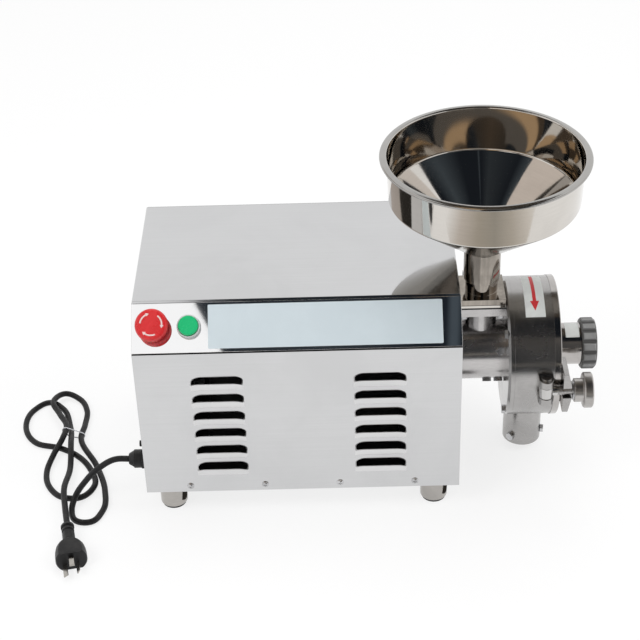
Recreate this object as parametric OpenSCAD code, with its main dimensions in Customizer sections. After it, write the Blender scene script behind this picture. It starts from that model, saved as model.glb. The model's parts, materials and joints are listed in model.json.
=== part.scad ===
// Bench-top electric grain mill: a stainless box with the motor inside, a feed screw and burr
// chamber on its right side, a dish hopper above the throat and a mains lead on the left.
// Millimetres. Origin: on the floor, under the middle of the mill without its lead.
// +X to the grinding head, +Y to the back, +Z up.

/* [Casing] */
// Width of the box
body_w = 400; // [360:5:460]
// Depth of the box
body_d = 268; // [250:2:320]
// Height of the upright front sheet
front_h = 219; // [205:1:240]
// Height of the whole box
body_h = 265; // [255:1:290]
// Depth taken up by the sloped control panel
panel_run = 45; // [36:1:60]
// Thickness of the casing sheets
sheet = 1.2; // [1:0.1:2]
// Outer bend radius along the top edges
bend_r = 3; // [2:0.5:5]
// Open seam between two sheets
seam = 1.5; // [1:0.1:2.5]
// How far the middle of the box lies left of the origin
casing_left = 88; // [70:1:100]

/* [Louvres] */
// Length of one louvre
louvre_w = 62; // [40:1:80]
// Louvres in a column
louvre_rows = 6; // [2:1:6]
// Step from one louvre to the next
louvre_pitch = 27; // [24:0.5:30]
// Height of the top louvre above the casing's bottom edge
louvre_top = 181; // [170:1:195]
// Distance of each column from the middle of the box
louvre_off = 100; // [70:1:120]
// How far a hood stands out of the sheet
louvre_out = 7; // [5:0.5:10]
// Height of the lanced part of one louvre
louvre_h = 18; // [14:0.5:22]
// Drop from the slot's top to the hood's lip
louvre_drop = 4; // [3:0.5:8]

/* [Feet] */
// Diameter of a foot
foot_d = 35; // [25:1:45]
// Height of the feet with their pads
foot_h = 37; // [25:1:60]
// Distance of a foot's axis from the side of the box
foot_in_x = 31; // [25:1:50]
// Distance of a foot's axis from the front or back of the box
foot_in_y = 26; // [24:1:50]
// Thickness of the rubber pad
pad_t = 3; // [2:0.5:6]

/* [Controls] */
// Stop button: distance from the left edge of the panel
stop_x = 27; // [24:1:34]
// Start button: distance from the left edge of the panel
start_x = 70; // [62:1:90]
// Both buttons: distance up the slope of the panel
button_up = 32; // [28:1:36]
// Diameter of the stop button's head
stop_d = 40; // [32:1:44]
// Height of the stop button's head above the panel
stop_rise = 27; // [24:1:32]
// Travel of the stop button
stop_travel = 4; // [2:0.5:5]
// Diameter of the start button's bezel
bezel_d = 29.5; // [27:0.5:32]
// Diameter of the start button's cap
start_d = 24; // [20:0.5:25]
// Height of the start button's bezel above the panel
bezel_h = 10; // [8:0.5:12]
// Travel of the start button
start_travel = 3; // [2:0.5:4]
// Diameter of both panel holes
panel_hole_d = 22.4; // [22:0.1:23]

/* [Lead entry] */
// Distance of the cable gland from the front of the box
gland_y = 30; // [26:1:60]
// Height of the cable gland above the casing's bottom edge
gland_h = 32; // [28:1:60]
// Across flats of the gland
gland_af = 24; // [22:1:27]
// Distance from the gland up to the reset button
reset_up = 25; // [22:1:40]
// Diameter of the lead
cord_d = 8; // [6:0.5:9]

/* [Feed throat] */
// Distance of the throat's axis from the box
throat_out = 33.5; // [31:0.5:36]
// Outer diameter of the throat tube
throat_d = 41; // [36:0.5:42]
// Wall of the throat tube
throat_wall = 2.5; // [2:0.5:4]
// Side of the square flanges
flange_w = 58; // [56:1:60]
// Thickness of the lower flange
flange_t = 11; // [8:0.5:14]
// Thickness of the upper flange
upper_flange_t = 8.4; // [6:0.2:10]
// Height of the lower flange's underside above the shaft
flange_up = 66; // [60:1:72]
// Thickness of the gasket
gasket_t = 2; // [1:0.5:3]
// Thickness of the gate's guide plate
guide_t = 4; // [3.5:0.1:5]
// Width of the feed gate
gate_w = 42; // [40:1:44]
// Height of the throat tube above the upper flange
throat_len = 57; // [45:1:75]

/* [Hopper] */
// Diameter over the rim
rim_d = 258; // [200:2:300]
// Diameter of the bowl at its top
bowl_d = 242; // [190:2:280]
// Diameter of the bowl where the wall meets the cone
bowl_low_d = 236; // [180:2:276]
// Height of the bowl's wall
bowl_wall_h = 60; // [40:1:90]
// Height of the cone below the wall
cone_h = 74; // [55:1:100]
// Thickness of the hopper sheet
hopper_t = 1.2; // [1:0.1:2]
// Outer diameter of the hopper's spigot
spigot_d = 46.6; // [45.6:0.2:50]
// Length of the hopper's spigot
spigot_len = 43; // [30:1:50]

/* [Grinding head] */
// Height of the shaft above the casing's bottom edge
shaft_up = 122.5; // [118:0.5:128]
// Outer diameter of the feed tube
tube_d = 85; // [80:1:95]
// Bore of the feed tube
tube_bore = 62; // [60:1:66]
// Length of the feed tube outside the box
tube_len = 63; // [60:1:75]
// Outer diameter of the grinding chamber
chamber_d = 180; // [176:2:200]
// Wall of the grinding chamber
chamber_wall = 12; // [11:0.5:14]
// Length of the grinding chamber with its back plate
chamber_len = 58; // [57:1:66]
// Thickness of the chamber's back plate
back_t = 8; // [7:0.5:10]
// Diameter of the cover
cover_d = 182; // [180:1:202]
// Thickness of the cover
cover_t = 8.5; // [7:0.5:12]
// Diameter of the hub on the cover
hub_d = 54.4; // [46:0.2:60]
// Length of the hub
hub_len = 33.5; // [26:0.5:40]
// Diameter of the adjusting knob
knob_d = 67; // [60:1:76]
// Thickness of the adjusting knob
knob_t = 19; // [14:0.5:24]
// Lobes around the adjusting knob
knob_lobes = 14; // [8:1:18]
// Distance from the chamber's back face to the spout's axis
spout_in = 31; // [30:1:33]
// Outer diameter of the discharge spout
spout_d = 50; // [44:1:52]
// Wall of the discharge spout
spout_wall = 3; // [2:0.5:4]
// Distance from the shaft down to the spout's lower end
spout_down = 148.5; // [130:0.5:152]

/* [Burrs and feed screw] */
// Diameter of both burrs
burr_d = 136; // [120:2:140]
// Thickness of each burr
burr_t = 12; // [9:0.5:12]
// Grinding gap with the knob turned right in
burr_gap = 0.4; // [0.3:0.1:1]
// Number of grooves on each burr
burr_grooves = 24; // [12:2:30]
// Diameter of the motor shaft at its bearings
shaft_d = 30; // [28:0.5:32]
// Diameter of the shaft inside the feed screw
nose_d = 24; // [20:0.5:26]
// Outer diameter of the feed screw
auger_d = 59; // [54:1:60]
// Pitch of the feed screw
auger_pitch = 34; // [28:1:44]
// Pitch of the adjusting thread, and so the travel of the burr for one turn
adjust_pitch = 1.5; // [1:0.25:2]

/* [Cover clamp and hinge] */
// Diameter of the swing bolt
bolt_d = 12; // [10:0.5:12]
// Distance of the swing bolt's axis from the chamber's wall
bolt_off = 10; // [9.5:0.5:12]
// Height of the fork lug on the cover
lug_h = 58; // [46:1:64]
// Diameter of the hand nut's disc
nut_d = 45; // [36:1:50]
// Diameter of the hand nut's neck
nut_neck_d = 30; // [24:1:32]
// Distance of the hinge's axis from the chamber's wall
hinge_off = 13; // [12:0.5:16]
// Diameter of both hinge pins
pin_d = 8; // [6:0.5:9]

/* [Motor] */
// Outer diameter of the motor's shell
motor_d = 160; // [150:2:166]
// Length of the motor's shell
motor_len = 170; // [150:2:180]

/* [Hidden] */
$fn = 64;

fit = 0.05;          // radial running clearance of a shaft in its bore
slide_gap = 0.3;     // clearance of a sliding piece in its guide
eps = 1;             // overrun of a cutting tool past a face

// Casing
x_face = body_w / 2 - casing_left;            // right side of the box
x_left = x_face - body_w;
y_front = -body_d / 2;
panel_rise = body_h - front_h;
panel_a = atan2(panel_rise, panel_run);
panel_len = norm([panel_run, panel_rise]);
tray_flange_h = 22;
tray_t = 1.5;
return_w = 12;                                // side returns of the front and rear sheets
screw_h = 9.5;                                // panel screws above the bottom edge
screw_pitch = 95.5;
screw_r = 2;
screw_head_r = 4.4;
corner_r = 5;                                 // corners of a hood in plan
slot_run = 10;                                // length of a slot's rounded end
slot_fall = 5;                                // how far that end falls
lip_run = 12;                                 // the same for the hood's lip
lip_fall = 3.5;
arch_steps = 6;
core_margin = 30;                             // shell beyond the core at each end
core_len = motor_len - 2 * core_margin;
core_wall = 12;                               // shell and gap round the core
winding_out = 22;                             // end windings stand out of the core
cowl_len = 46;
vent_pitch = 20;                              // rings of vents in the cowl
vent_r = 5;
cap_d = 50;
cap_h = 95;
cap_post_d = 20;
cap_post_h = 8;

// Shaft line
z_shaft = foot_h + shaft_up;
x_back = tube_len;                            // stations along the shaft, from the box
x_ring = x_back + back_t;
x_mouth = x_back + chamber_len;
x_hub = x_mouth + cover_t;
x_hub_end = x_hub + hub_len;
x_spout = x_back + spout_in;
ring_r = chamber_d / 2;
chamber_r = ring_r - chamber_wall;
mount_t = 10;                                 // motor flange of the feed tube
mount_r = 72;
shield_t = 18;
x_mount = -sheet - mount_t;
x_shell = x_mount - shield_t;
x_rear = x_shell - motor_len;
bearing_r = 31;
bearing_t = 16;
seal_t = 8;
rotor_r = 45;
air_gap = 1;

// Burrs
rot_x = x_ring + 9;                           // back of the rotating burr
auger_len = rot_x - seal_t - 5;
gap_x = rot_x + burr_t;
stat_x = gap_x + burr_gap;
carrier_x = stat_x + burr_t;
carrier_t = 8;
carrier_r = burr_d / 2 - 8;
adjust_travel = 2 * adjust_pitch;             // two turns of the knob
boss_end = x_mouth - adjust_travel - 0.5;
burr_hub_r = 18;
burr_eye_r = 32;
spoke_w = 9;
burr_hub_h = burr_t - 4;                      // its nut seats on this
spoke_h = burr_hub_h - 2;
groove_w = 5;
groove_depth = 2.2;
guide_n = 3;
guide_at_r = 46;
guide_r = 4;
pin_seat = 4;                                 // depth of the guide pins in the cover
screw_rad = 12;                               // adjusting screw
screw_nose_r = 8;
nose_seat = 3;                                // floor left under the screw's nose
knob_gap = 1;
knob_seat = knob_t - 5;                       // depth of the screw in the knob

// Throat
x_throat = throat_out;
throat_r = throat_d / 2;
throat_bore_r = throat_r - throat_wall;
z_flange = z_shaft + flange_up;
z_gasket = z_flange + flange_t;
z_guide = z_gasket + gasket_t;
z_upper = z_guide + guide_t;
z_tube_top = z_upper + upper_flange_t + throat_len;
z_seat = z_tube_top + slide_gap;
flange_hole_at = flange_w / 2 - 6;
gate_lip = 12;
gate_travel = 40;

// Hopper
spigot_r = spigot_d / 2;
spigot_slip = 0.5;                            // spigot over the throat tube
seat_t = 3;
z_cone = z_seat + seat_t;
z_wall = z_cone + cone_h;
z_rim = z_wall + bowl_wall_h;

// Clamp and hinge
bolt_r = bolt_d / 2;
clamp_x = x_mouth - 12;                       // pin of the swing bolt
clamp_y = -(ring_r + bolt_off);
eye_r = 9;
eye_t = 15.4;
lug_gap = 8;                                  // half the slot between the clamp's two lugs
lug_reach = 7;                                // fork beyond the swing bolt's axis
lug_slot = 7.5;                               // half the slot of the fork
lug_t = 11;
clamp_gap = 0.9;                              // washer to fork, hand nut not yet tight
washer_t = 2;
nut_neck_t = 11;
nut_disc_t = 12;
nut_pitch = 1.75;
x_washer = x_hub + lug_t + clamp_gap;
x_nut = x_washer + washer_t;
hinge_y = ring_r + hinge_off;
pin_r = pin_d / 2;
knuckle_r = 7;
arm_half = 9.5;

// Buttons
barrel_len = 18;                              // below the panel, down to the contact blocks
barrel_r = panel_hole_d / 2 - 0.1;
stem_r = 8;

// Bolts
hex_r = 5.8;
hex_h = 4.2;
m6_r = 3;
m6_len = 9;
back_bolt_r = ring_r - chamber_wall / 2;
peg_up = 12;                                  // pegs above the spout's lower end

// Lead
gland_len = 22.7;                             // the lead leaves this far from the box
gland_flange_t = 6;
gland_nut_t = 10;
gland_r = 10;                                 // barrel of the gland through the sheet
reset_r = 6;                                  // barrel of the reset button through the sheet
reset_cap_r = 4;
reset_travel = 2;
gland_at = [x_left, y_front + gland_y, foot_h + gland_h];
cord_r = cord_d / 2;
cord_sides = 8;
cord_steps = 2;                               // rings of the lead in each stretch
fine_steps = 12;                              // stations that measure its gap to itself
// Axis of the lead from the gland to the plug: down to the floor, round two loops to the tie,
// over the top turn, round the two loops on the left and out to the plug.
cord_pts = [
    [-310.7, -104, 69], [-327, -104, 69], [-352, -104, 54], [-371, -104, 33],
    [-385, -110, 14], [-389, -129, 5], [-381, -148, 4], [-361, -150, 4],
    [-349, -130, 4], [-350, -90, 4], [-366, -40, 4],
    [-394, 20, 5.6], [-392, 50, 4], [-393, 82, 4], [-405, 106, 5],
    [-426, 114, 10], [-440, 96, 12.8], [-428, 64, 13], [-415, 36, 14.5],
    [-417, 8, 14.5], [-426, -18, 9], [-432, -50, 4], [-424, -81, 4],
    [-405, -101, 4], [-380, -102, 4], [-365, -80, 4], [-374, -46, 4],
    [-395, -17, 4], [-420, 0, 4], [-454, 12, 4],
    [-474, 50, 4], [-467, 86, 4], [-447, 102, 4], [-428, 88, 4],
    [-412, 46, 4], [-404, -5, 14], [-401, -44, 6.5], [-402, -98, 13.8],
    [-396, -134, 13.5], [-389, -168, 13.5]];
cord_last = len(cord_pts) - 1;
tie_y = 25;                                   // plane of the wire tie
tie_at = [[11, 0.15], [18, 0.4], [34, 0.4]];  // the strands that it holds
tie_t = 0.9;
tie_w = 1.6;
relief_len = 31;                              // ribbed sleeve of the plug
relief_r = 8;
plug_len = 66;
plug_r = 19.75;
plug_half = 13.5;                             // half the plug's thickness: it lies on the floor
blade = [6.35, 1.6];
// Blades: distance from the plug's axis, angle round it, angle of the blade, length
blades = [[7.9, 90, 0, 17], [7.9, -30, 60, 17], [10.3, 210, 210, 20]];

function at_x(x) = x_face + x;
function unit(v) = v / norm(v);
function chord(i) = cord_pts[i + 1] - cord_pts[i];
function heading(i) =
    i == 0 ? unit(chord(0))
    : i == cord_last ? unit(chord(i - 1))
    : unit(unit(chord(i - 1)) * norm(chord(i)) + unit(chord(i)) * norm(chord(i - 1)));
// Point at a share t of the stretch from cord_pts[i] to the next one, never below the floor.
function on_cord(i, t) =
    let (h = norm(chord(i)),
         q = (2 * t ^ 3 - 3 * t ^ 2 + 1) * cord_pts[i] + (3 * t ^ 2 - 2 * t ^ 3) * cord_pts[i + 1]
             + (t ^ 3 - 2 * t ^ 2 + t) * h * heading(i) + (t ^ 3 - t ^ 2) * h * heading(i + 1))
    [q.x, q.y, max(q.z, cord_r)];
function cord_line(steps) =
    [for (i = [0 : cord_last - 1], k = [0 : steps - 1]) on_cord(i, k / steps), cord_pts[cord_last]];

// ---- placing ----
module in_casing() { translate([-casing_left, 0, foot_h]) children(); }
module on_shaft(x) { translate([at_x(x), 0, z_shaft]) rotate([0, 90, 0]) children(); }
module on_panel(x, s) {
    translate([x_left + x, y_front + s * cos(panel_a), foot_h + front_h + s * sin(panel_a)])
        rotate([panel_a, 0, 0]) children();
}
module mirror_copy(v) { children(); mirror(v) children(); }
module each_foot() {
    in_casing() mirror_copy([1, 0, 0]) mirror_copy([0, 1, 0])
        translate([body_w / 2 - foot_in_x, body_d / 2 - foot_in_y, 0]) children();
}
module each_screw() {
    in_casing() for (side = [0, 180], i = [-1.5 : 1 : 1.5])
        rotate([0, 0, side]) translate([i * screw_pitch, -body_d / 2, screw_h])
            rotate([90, 0, 0]) children();
}
module tube(r, bore, h) {
    difference() {
        cylinder(r = r, h = h);
        translate([0, 0, -eps]) cylinder(r = bore, h = h + 2 * eps);
    }
}
module box_mid(w, d, h) { translate([-w / 2, -d / 2, 0]) cube([w, d, h]); }

// ---- casing sheets ----
module wrap_outline(inset) {
    r = max(bend_r - inset, 0.5);
    w = body_w / 2 - inset;
    top = body_h - inset;
    union() {
        translate([-w, 0]) square([2 * w, top - r]);
        translate([-w + r, 0]) square([2 * (w - r), top]);
        for (s = [-1, 1]) translate([s * (w - r), top - r]) circle(r = r);
    }
}
module slope_cut(depth) {
    translate([0, y_front, foot_h + front_h]) rotate([panel_a, 0, 0])
        translate([-body_w, -body_h, -depth]) cube([2 * body_w, body_h + panel_len + bend_r, body_h]);
}
module wrap_cover() color("gainsboro") difference() {
    translate([-casing_left, body_d / 2 - sheet, foot_h]) rotate([90, 0, 0])
        linear_extrude(body_d - 2 * sheet) difference() {
            wrap_outline(0);
            translate([0, -eps]) wrap_outline(sheet);
        }
    slope_cut(sheet);
    on_shaft(-sheet - eps) cylinder(r = tube_d / 2 + slide_gap, h = sheet + 2 * eps);
    translate(gland_at - [eps, 0, 0]) rotate([0, 90, 0]) cylinder(r = gland_r + 0.2, h = sheet + 2 * eps);
    translate(gland_at + [-eps, 0, reset_up]) rotate([0, 90, 0])
        cylinder(r = reset_r + 0.2, h = sheet + 2 * eps);
}

// One louvre: its lip at the top, its mouth facing up, the hood pressed out towards -Y.
// A louvre's outline seen from the front: flat on top, falling away over a run at both ends.
module arched(w, top, bottom, run, fall) {
    r = (run * run + fall * fall) / (2 * fall);
    turn = asin(run / r);
    end = [for (k = [0 : arch_steps]) let (a = turn * k / arch_steps)
        [w - run + r * sin(a), top - r + r * cos(a)]];
    polygon(concat([[-w, bottom], [w, bottom]], [for (k = [arch_steps : -1 : 0]) end[k]],
        [for (p = end) [-p[0], p[1]]]));
}
module louvre_wedge(grow) {
    w = louvre_w / 2 + grow;
    out = louvre_out + grow;
    r = corner_r;
    intersection() {
        translate([-w, 0, 0]) rotate([90, 0, 90])
            linear_extrude(2 * w) polygon([[0, -louvre_h - grow], [-out, -louvre_drop], [0, -louvre_drop]]);
        translate([0, 0, -louvre_h - 2 * grow - eps]) linear_extrude(louvre_h + 2 * grow + eps) union() {
            translate([-w + r, -out]) square([2 * (w - r), out + eps]);
            translate([-w, -out + r]) square([2 * w, out]);
            for (s = [-1, 1]) translate([s * (w - r), -out + r]) circle(r = r);
        }
    }
}
module louvre_hood() intersection() {
    louvre_wedge(sheet);
    translate([0, eps, 0]) rotate([90, 0, 0]) linear_extrude(louvre_out + sheet + 2 * eps)
        arched(louvre_w / 2 + sheet, -louvre_drop, -louvre_h - 2 * sheet, lip_run, lip_fall);
}
module louvre_slot() {
    translate([0, sheet + eps, 0]) rotate([90, 0, 0]) linear_extrude(sheet + 1.2 * eps)
        arched(louvre_w / 2, 0, -louvre_h + sheet, slot_run, slot_fall);
}
module each_louvre() {
    for (side = [-1, 1], i = [0 : louvre_rows - 1])
        translate([side * louvre_off, -body_d / 2, louvre_top - i * louvre_pitch]) children();
}
module louvred_sheet() {
    difference() {
        union() {
            translate([-body_w / 2, -body_d / 2, 0]) children();
            each_louvre() louvre_hood();
        }
        each_louvre() louvre_slot();
        each_louvre() translate([0, eps / 100, 0]) louvre_wedge(0);
        for (i = [-1.5 : 1 : 1.5]) translate([i * screw_pitch, -body_d / 2 - eps, screw_h])
            rotate([-90, 0, 0]) cylinder(r = screw_r + fit, h = sheet + 2 * eps);
    }
}
module sheet_returns(h) {
    for (s = [0, 1]) mirror([s, 0, 0])
        translate([body_w / 2 - 2 * sheet, -body_d / 2 + sheet, tray_flange_h + seam])
            cube([sheet, return_w, h - tray_flange_h - seam]);
}
module front_panel() color("gainsboro") in_casing() union() {
    louvred_sheet() cube([body_w, sheet, front_h - seam]);
    sheet_returns(front_h - seam - return_w);
}
module rear_panel() color("gainsboro") in_casing() rotate([0, 0, 180]) union() {
    louvred_sheet() translate([body_w / 2, sheet, 0]) rotate([90, 0, 0])
        linear_extrude(sheet) wrap_outline(0);
    sheet_returns(body_h - bend_r - sheet - seam);
}
module control_panel() color("whitesmoke") difference() {
    on_panel(0, seam / 2) translate([0, 0, -sheet]) cube([body_w, panel_len - 2 * seam, sheet]);
    for (x = [stop_x, start_x])
        on_panel(x, button_up) translate([0, 0, -sheet - eps])
            cylinder(d = panel_hole_d, h = sheet + 2 * eps);
}
module base_tray() color("silver") difference() {
    in_casing() difference() {
        w = body_w - 2 * sheet;
        d = body_d - 2 * sheet;
        box_mid(w, d, tray_flange_h);
        translate([0, 0, tray_t]) box_mid(w + 2 * eps, d - 2 * tray_t, tray_flange_h);
        for (s = [0, 1]) mirror([s, 0, 0])
            translate([w / 2 - sheet - eps / 2, -d, tray_t]) cube([2 * sheet, 2 * d, tray_flange_h]);
    }
    each_foot() translate([0, 0, -eps]) cylinder(r = 4 + fit, h = tray_t + 2 * eps);
    each_screw() translate([0, 0, -2 * sheet - tray_t]) cylinder(r = screw_r + fit, h = 3 * sheet + tray_t);
}
module feet() color("silver") each_foot() union() {
    translate([0, 0, -foot_h + pad_t + 1.5]) cylinder(d = foot_d, h = foot_h - pad_t - 1.5);
    translate([0, 0, -foot_h + pad_t]) cylinder(d1 = foot_d - 3, d2 = foot_d, h = 1.5);
    cylinder(r = 4, h = 12);
}
module foot_pads() color("dimgray") each_foot()
    translate([0, 0, -foot_h]) cylinder(d = foot_d - 4, h = pad_t);
module panel_screws() color("lightgray") each_screw() union() {
    translate([0, 0, -8]) cylinder(r = screw_r, h = 8);
    intersection() {
        cylinder(r = screw_head_r, h = 3);
        translate([0, 0, -3.2]) sphere(r = 5.9);
    }
}

// ---- motor inside the box ----
module motor_shell() color("darkslategray") union() {
    difference() {
        union() {
            on_shaft(x_rear) cylinder(d = motor_d - 12, h = motor_len);
            for (i = [0 : 15]) on_shaft(x_rear + 4) rotate([0, 0, i * 22.5 + 11.25])
                translate([motor_d / 2 - 10, -1.5, 0]) cube([10, 3, motor_len - 8]);
            for (s = [-1, 1], x = [20, motor_len - 44])
                translate([at_x(x_rear + x), s * 50 - 14, foot_h + tray_t])
                    cube([24, 28, shaft_up - tray_t - 40]);
        }
        on_shaft(x_rear - eps) cylinder(d = motor_d - 24, h = motor_len + 2 * eps);
    }
    on_shaft(x_rear + motor_len / 2) translate([-motor_d / 2 - 8, -30, -35]) cube([20, 60, 70]);
}
module end_shield(x, seat) difference() {
    on_shaft(x) cylinder(d = motor_d - 2, h = shield_t);
    on_shaft(x - eps) cylinder(r = shaft_d / 2 + 2, h = shield_t + 2 * eps);
    on_shaft(seat) cylinder(r = bearing_r + fit, h = bearing_t + eps);
}
module end_shields() color("dimgray") union() {
    end_shield(x_shell, x_mount - bearing_t);
    end_shield(x_rear - shield_t, x_rear - bearing_t);
}
module stator() color("peru") on_shaft(x_rear + core_margin) union() {
    tube(motor_d / 2 - core_wall - fit, rotor_r + air_gap, core_len);
    for (z = [-winding_out, core_len]) translate([0, 0, z])
        tube(motor_d / 2 - core_wall - 2, rotor_r + 5, winding_out);
}
module fan_cowl() color("dimgray") difference() {
    on_shaft(x_rear - shield_t - cowl_len) cylinder(d = motor_d, h = cowl_len);
    on_shaft(x_rear - shield_t - cowl_len + 2) cylinder(d = motor_d - 4, h = cowl_len);
    on_shaft(x_rear - shield_t - cowl_len - eps) union() {
        for (ring = [1 : 3], i = [0 : 5 * ring - 1])
            rotate([0, 0, i * 360 / (5 * ring)]) translate([ring * vent_pitch, 0, 0]) cylinder(r = vent_r, h = 4);
    }
}
module bearing() difference() {
    tube(bearing_r, shaft_d / 2 + fit, bearing_t);
    for (z = [-eps, bearing_t - 1.5]) translate([0, 0, z]) tube(bearing_r - 5, shaft_d / 2 + 5, 1.5 + eps);
}
module ball_bearings() color("silver") union() {
    on_shaft(x_mount - bearing_t) bearing();
    on_shaft(x_rear - bearing_t) bearing();
}
module capacitors() color("lightgray") for (s = [-1, 1])
    translate([x_left + cap_d, s * 0.6 * cap_d, foot_h + tray_t]) union() {
        cylinder(d = cap_d, h = cap_h);
        translate([0, 0, cap_h]) cylinder(d = cap_post_d, h = cap_post_h);
    }
module motor_shaft() color("silver") union() {
    on_shaft(x_rear - shield_t - 30) cylinder(d = shaft_d, h = shield_t + 30 - x_rear + seal_t + 3);
    on_shaft(seal_t + 2) cylinder(d = nose_d, h = gap_x - 6 - seal_t - 2);
    on_shaft(gap_x - 6) cylinder(r = 8, h = 14);
}
module rotor_core() color("slategray") on_shaft(x_rear + core_margin) union() {
    tube(rotor_r, shaft_d / 2 + fit, core_len);
    for (z = [-10, core_len]) translate([0, 0, z]) tube(rotor_r - 3, rotor_r - 15, 10);
}
module cooling_fan() color("black") on_shaft(x_rear - shield_t - 26) union() {
    tube(24, shaft_d / 2 + fit, 20);
    for (i = [0 : 6]) rotate([0, 0, i * 360 / 7]) translate([20, -1.5, 2]) cube([motor_d / 2 - 30, 3, 17]);
}

// ---- feed tube, screw and chamber ----
module each_flange_bolt() {
    for (x = [-1, 1], y = [-1, 1])
        translate([at_x(x_throat) + x * flange_hole_at, y * flange_hole_at, z_flange]) children();
}
module each_back_bolt() {
    for (i = [0 : 3]) on_shaft(x_back) rotate([0, 0, 45 + 90 * i]) translate([back_bolt_r, 0, 0]) children();
}
// Set bolts of the feed tube: station along the shaft and angle above the front horizon.
module each_tube_bolt() {
    for (p = [[x_back - 6.5, 26], [x_back - 6.5, -55], [x_back - 21, -55]])
        translate([at_x(p[0]), 0, z_shaft]) rotate([90 - p[1], 0, 0]) translate([0, 0, tube_d / 2]) children();
}
module each_peg() {
    for (a = [110, 230, 350]) translate([at_x(x_spout), 0, z_shaft - spout_down + peg_up])
        rotate([0, 0, a]) translate([spout_d / 2, 0, 0]) rotate([0, 90, 0]) children();
}
module hex_bolt(shank) {
    cylinder(r = hex_r, h = hex_h, $fn = 6);
    translate([0, 0, -shank]) cylinder(r = m6_r, h = shank);
}
module hex_bolts() color("silver") union() {
    each_flange_bolt() mirror([0, 0, 1]) hex_bolt(flange_t);
    each_back_bolt() mirror([0, 0, 1]) hex_bolt(back_t + 6);
    each_tube_bolt() hex_bolt(8);
    each_peg() hex_bolt(spout_wall);
}
module auger_housing() color("silver") difference() {
    union() {
        on_shaft(0) cylinder(d = tube_d, h = tube_len);
        on_shaft(-sheet) cylinder(d = tube_d, h = sheet);
        on_shaft(x_mount) cylinder(r = mount_r, h = mount_t);
        translate([at_x(x_throat), 0, z_shaft]) cylinder(r = throat_r, h = flange_up + eps);
        translate([at_x(x_throat), 0, z_flange]) box_mid(flange_w, flange_w, flange_t);
    }
    on_shaft(x_mount - eps) cylinder(d = tube_bore, h = mount_t + sheet + tube_len + 2 * eps);
    translate([at_x(x_throat), 0, z_shaft]) cylinder(r = throat_bore_r, h = flange_up + flange_t + eps);
    each_flange_bolt() translate([0, 0, -eps]) cylinder(r = m6_r + fit, h = flange_t + 2 * eps);
    each_tube_bolt() translate([0, 0, -10]) cylinder(r = m6_r + fit, h = 10 + eps);
}
module shaft_seal() color("dimgray") on_shaft(0) tube(tube_bore / 2 - fit, shaft_d / 2 + fit, seal_t);
module auger() color("silver") on_shaft(seal_t + 3) union() {
    tube(15.5, nose_d / 2 + fit, auger_len);
    linear_extrude(auger_len, twist = -360 * auger_len / auger_pitch, slices = 32, segments = 6)
        polygon([15 * [cos(0), sin(0)], 15 * [cos(36), sin(36)],
                 for (a = [36 : -12 : 0]) auger_d / 2 * [cos(a), sin(a)]]);
}
module throat_plate(t) {
    difference() {
        box_mid(flange_w, flange_w, t);
        translate([0, 0, -eps]) cylinder(r = throat_bore_r, h = t + 2 * eps);
    }
}
module throat_gasket() color("black") translate([at_x(x_throat), 0, z_gasket]) throat_plate(gasket_t);
module gate_guide() color("silver") translate([at_x(x_throat), 0, z_guide]) difference() {
    box_mid(flange_w, flange_w, guide_t);
    translate([-gate_w / 2 - slide_gap, -gate_w / 2 + slide_gap, -eps])
        cube([gate_w + 2 * slide_gap, flange_w, guide_t + 2 * eps]);
    translate([0, -slide_gap, -eps]) cylinder(r = gate_w / 2 + slide_gap, h = guide_t + 2 * eps);
}
module feed_gate() color("silver")
    translate([at_x(x_throat), 0, z_guide + slide_gap]) union() {
        t = guide_t - 2 * slide_gap;
        cylinder(r = gate_w / 2 - slide_gap, h = t);
        translate([-gate_w / 2, 0, 0]) cube([gate_w, flange_w / 2 + gate_lip, t]);
        translate([-gate_w / 2, flange_w / 2 + gate_lip - t, 0]) cube([gate_w, t, gate_lip]);
    }
module throat_tube() color("silver") translate([at_x(x_throat), 0, z_upper]) difference() {
    union() {
        box_mid(flange_w, flange_w, upper_flange_t);
        cylinder(r = throat_r, h = upper_flange_t + throat_len);
    }
    translate([0, 0, -eps]) cylinder(r = throat_bore_r, h = upper_flange_t + throat_len + 2 * eps);
}
module chamber_ring() color("silver") difference() {
    on_shaft(x_ring) tube(ring_r, chamber_r, chamber_len - back_t);
    translate([at_x(x_spout), 0, z_shaft - ring_r - eps])
        cylinder(r = spout_d / 2 - spout_wall + slide_gap, h = ring_r);
    each_back_bolt() translate([0, 0, back_t - eps]) cylinder(r = m6_r + fit, h = 8);
}
module chamber_back() color("silver") difference() {
    on_shaft(x_back) union() {
        cylinder(r1 = ring_r - 3, r2 = ring_r, h = 3);
        translate([0, 0, 3]) cylinder(r = ring_r, h = back_t - 3);
    }
    on_shaft(x_back - eps) cylinder(d = tube_bore, h = back_t + 2 * eps);
    each_back_bolt() translate([0, 0, -eps]) cylinder(r = m6_r + fit, h = back_t + 2 * eps);
}
module discharge_spout() color("silver") difference() {
    h = spout_down - ring_r * cos(asin(spout_d / 2 / ring_r));
    translate([at_x(x_spout), 0, z_shaft - spout_down]) tube(spout_d / 2, spout_d / 2 - spout_wall, h);
    on_shaft(x_back - eps) cylinder(r = ring_r + fit, h = chamber_len + 2 * eps);
    each_peg() translate([0, 0, -spout_wall - eps]) cylinder(r = m6_r + fit, h = spout_wall + 2 * eps);
}
module burr_face(sense) {
    for (i = [0 : burr_grooves - 1]) rotate([0, 0, i * 360 / burr_grooves + sense * 8])
        translate([burr_eye_r - 2, 0, 0]) rotate([0, 0, sense * 18])
            translate([0, -groove_w / 2, -groove_depth]) cube([burr_d / 2, groove_w, 2 * groove_depth]);
}
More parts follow.
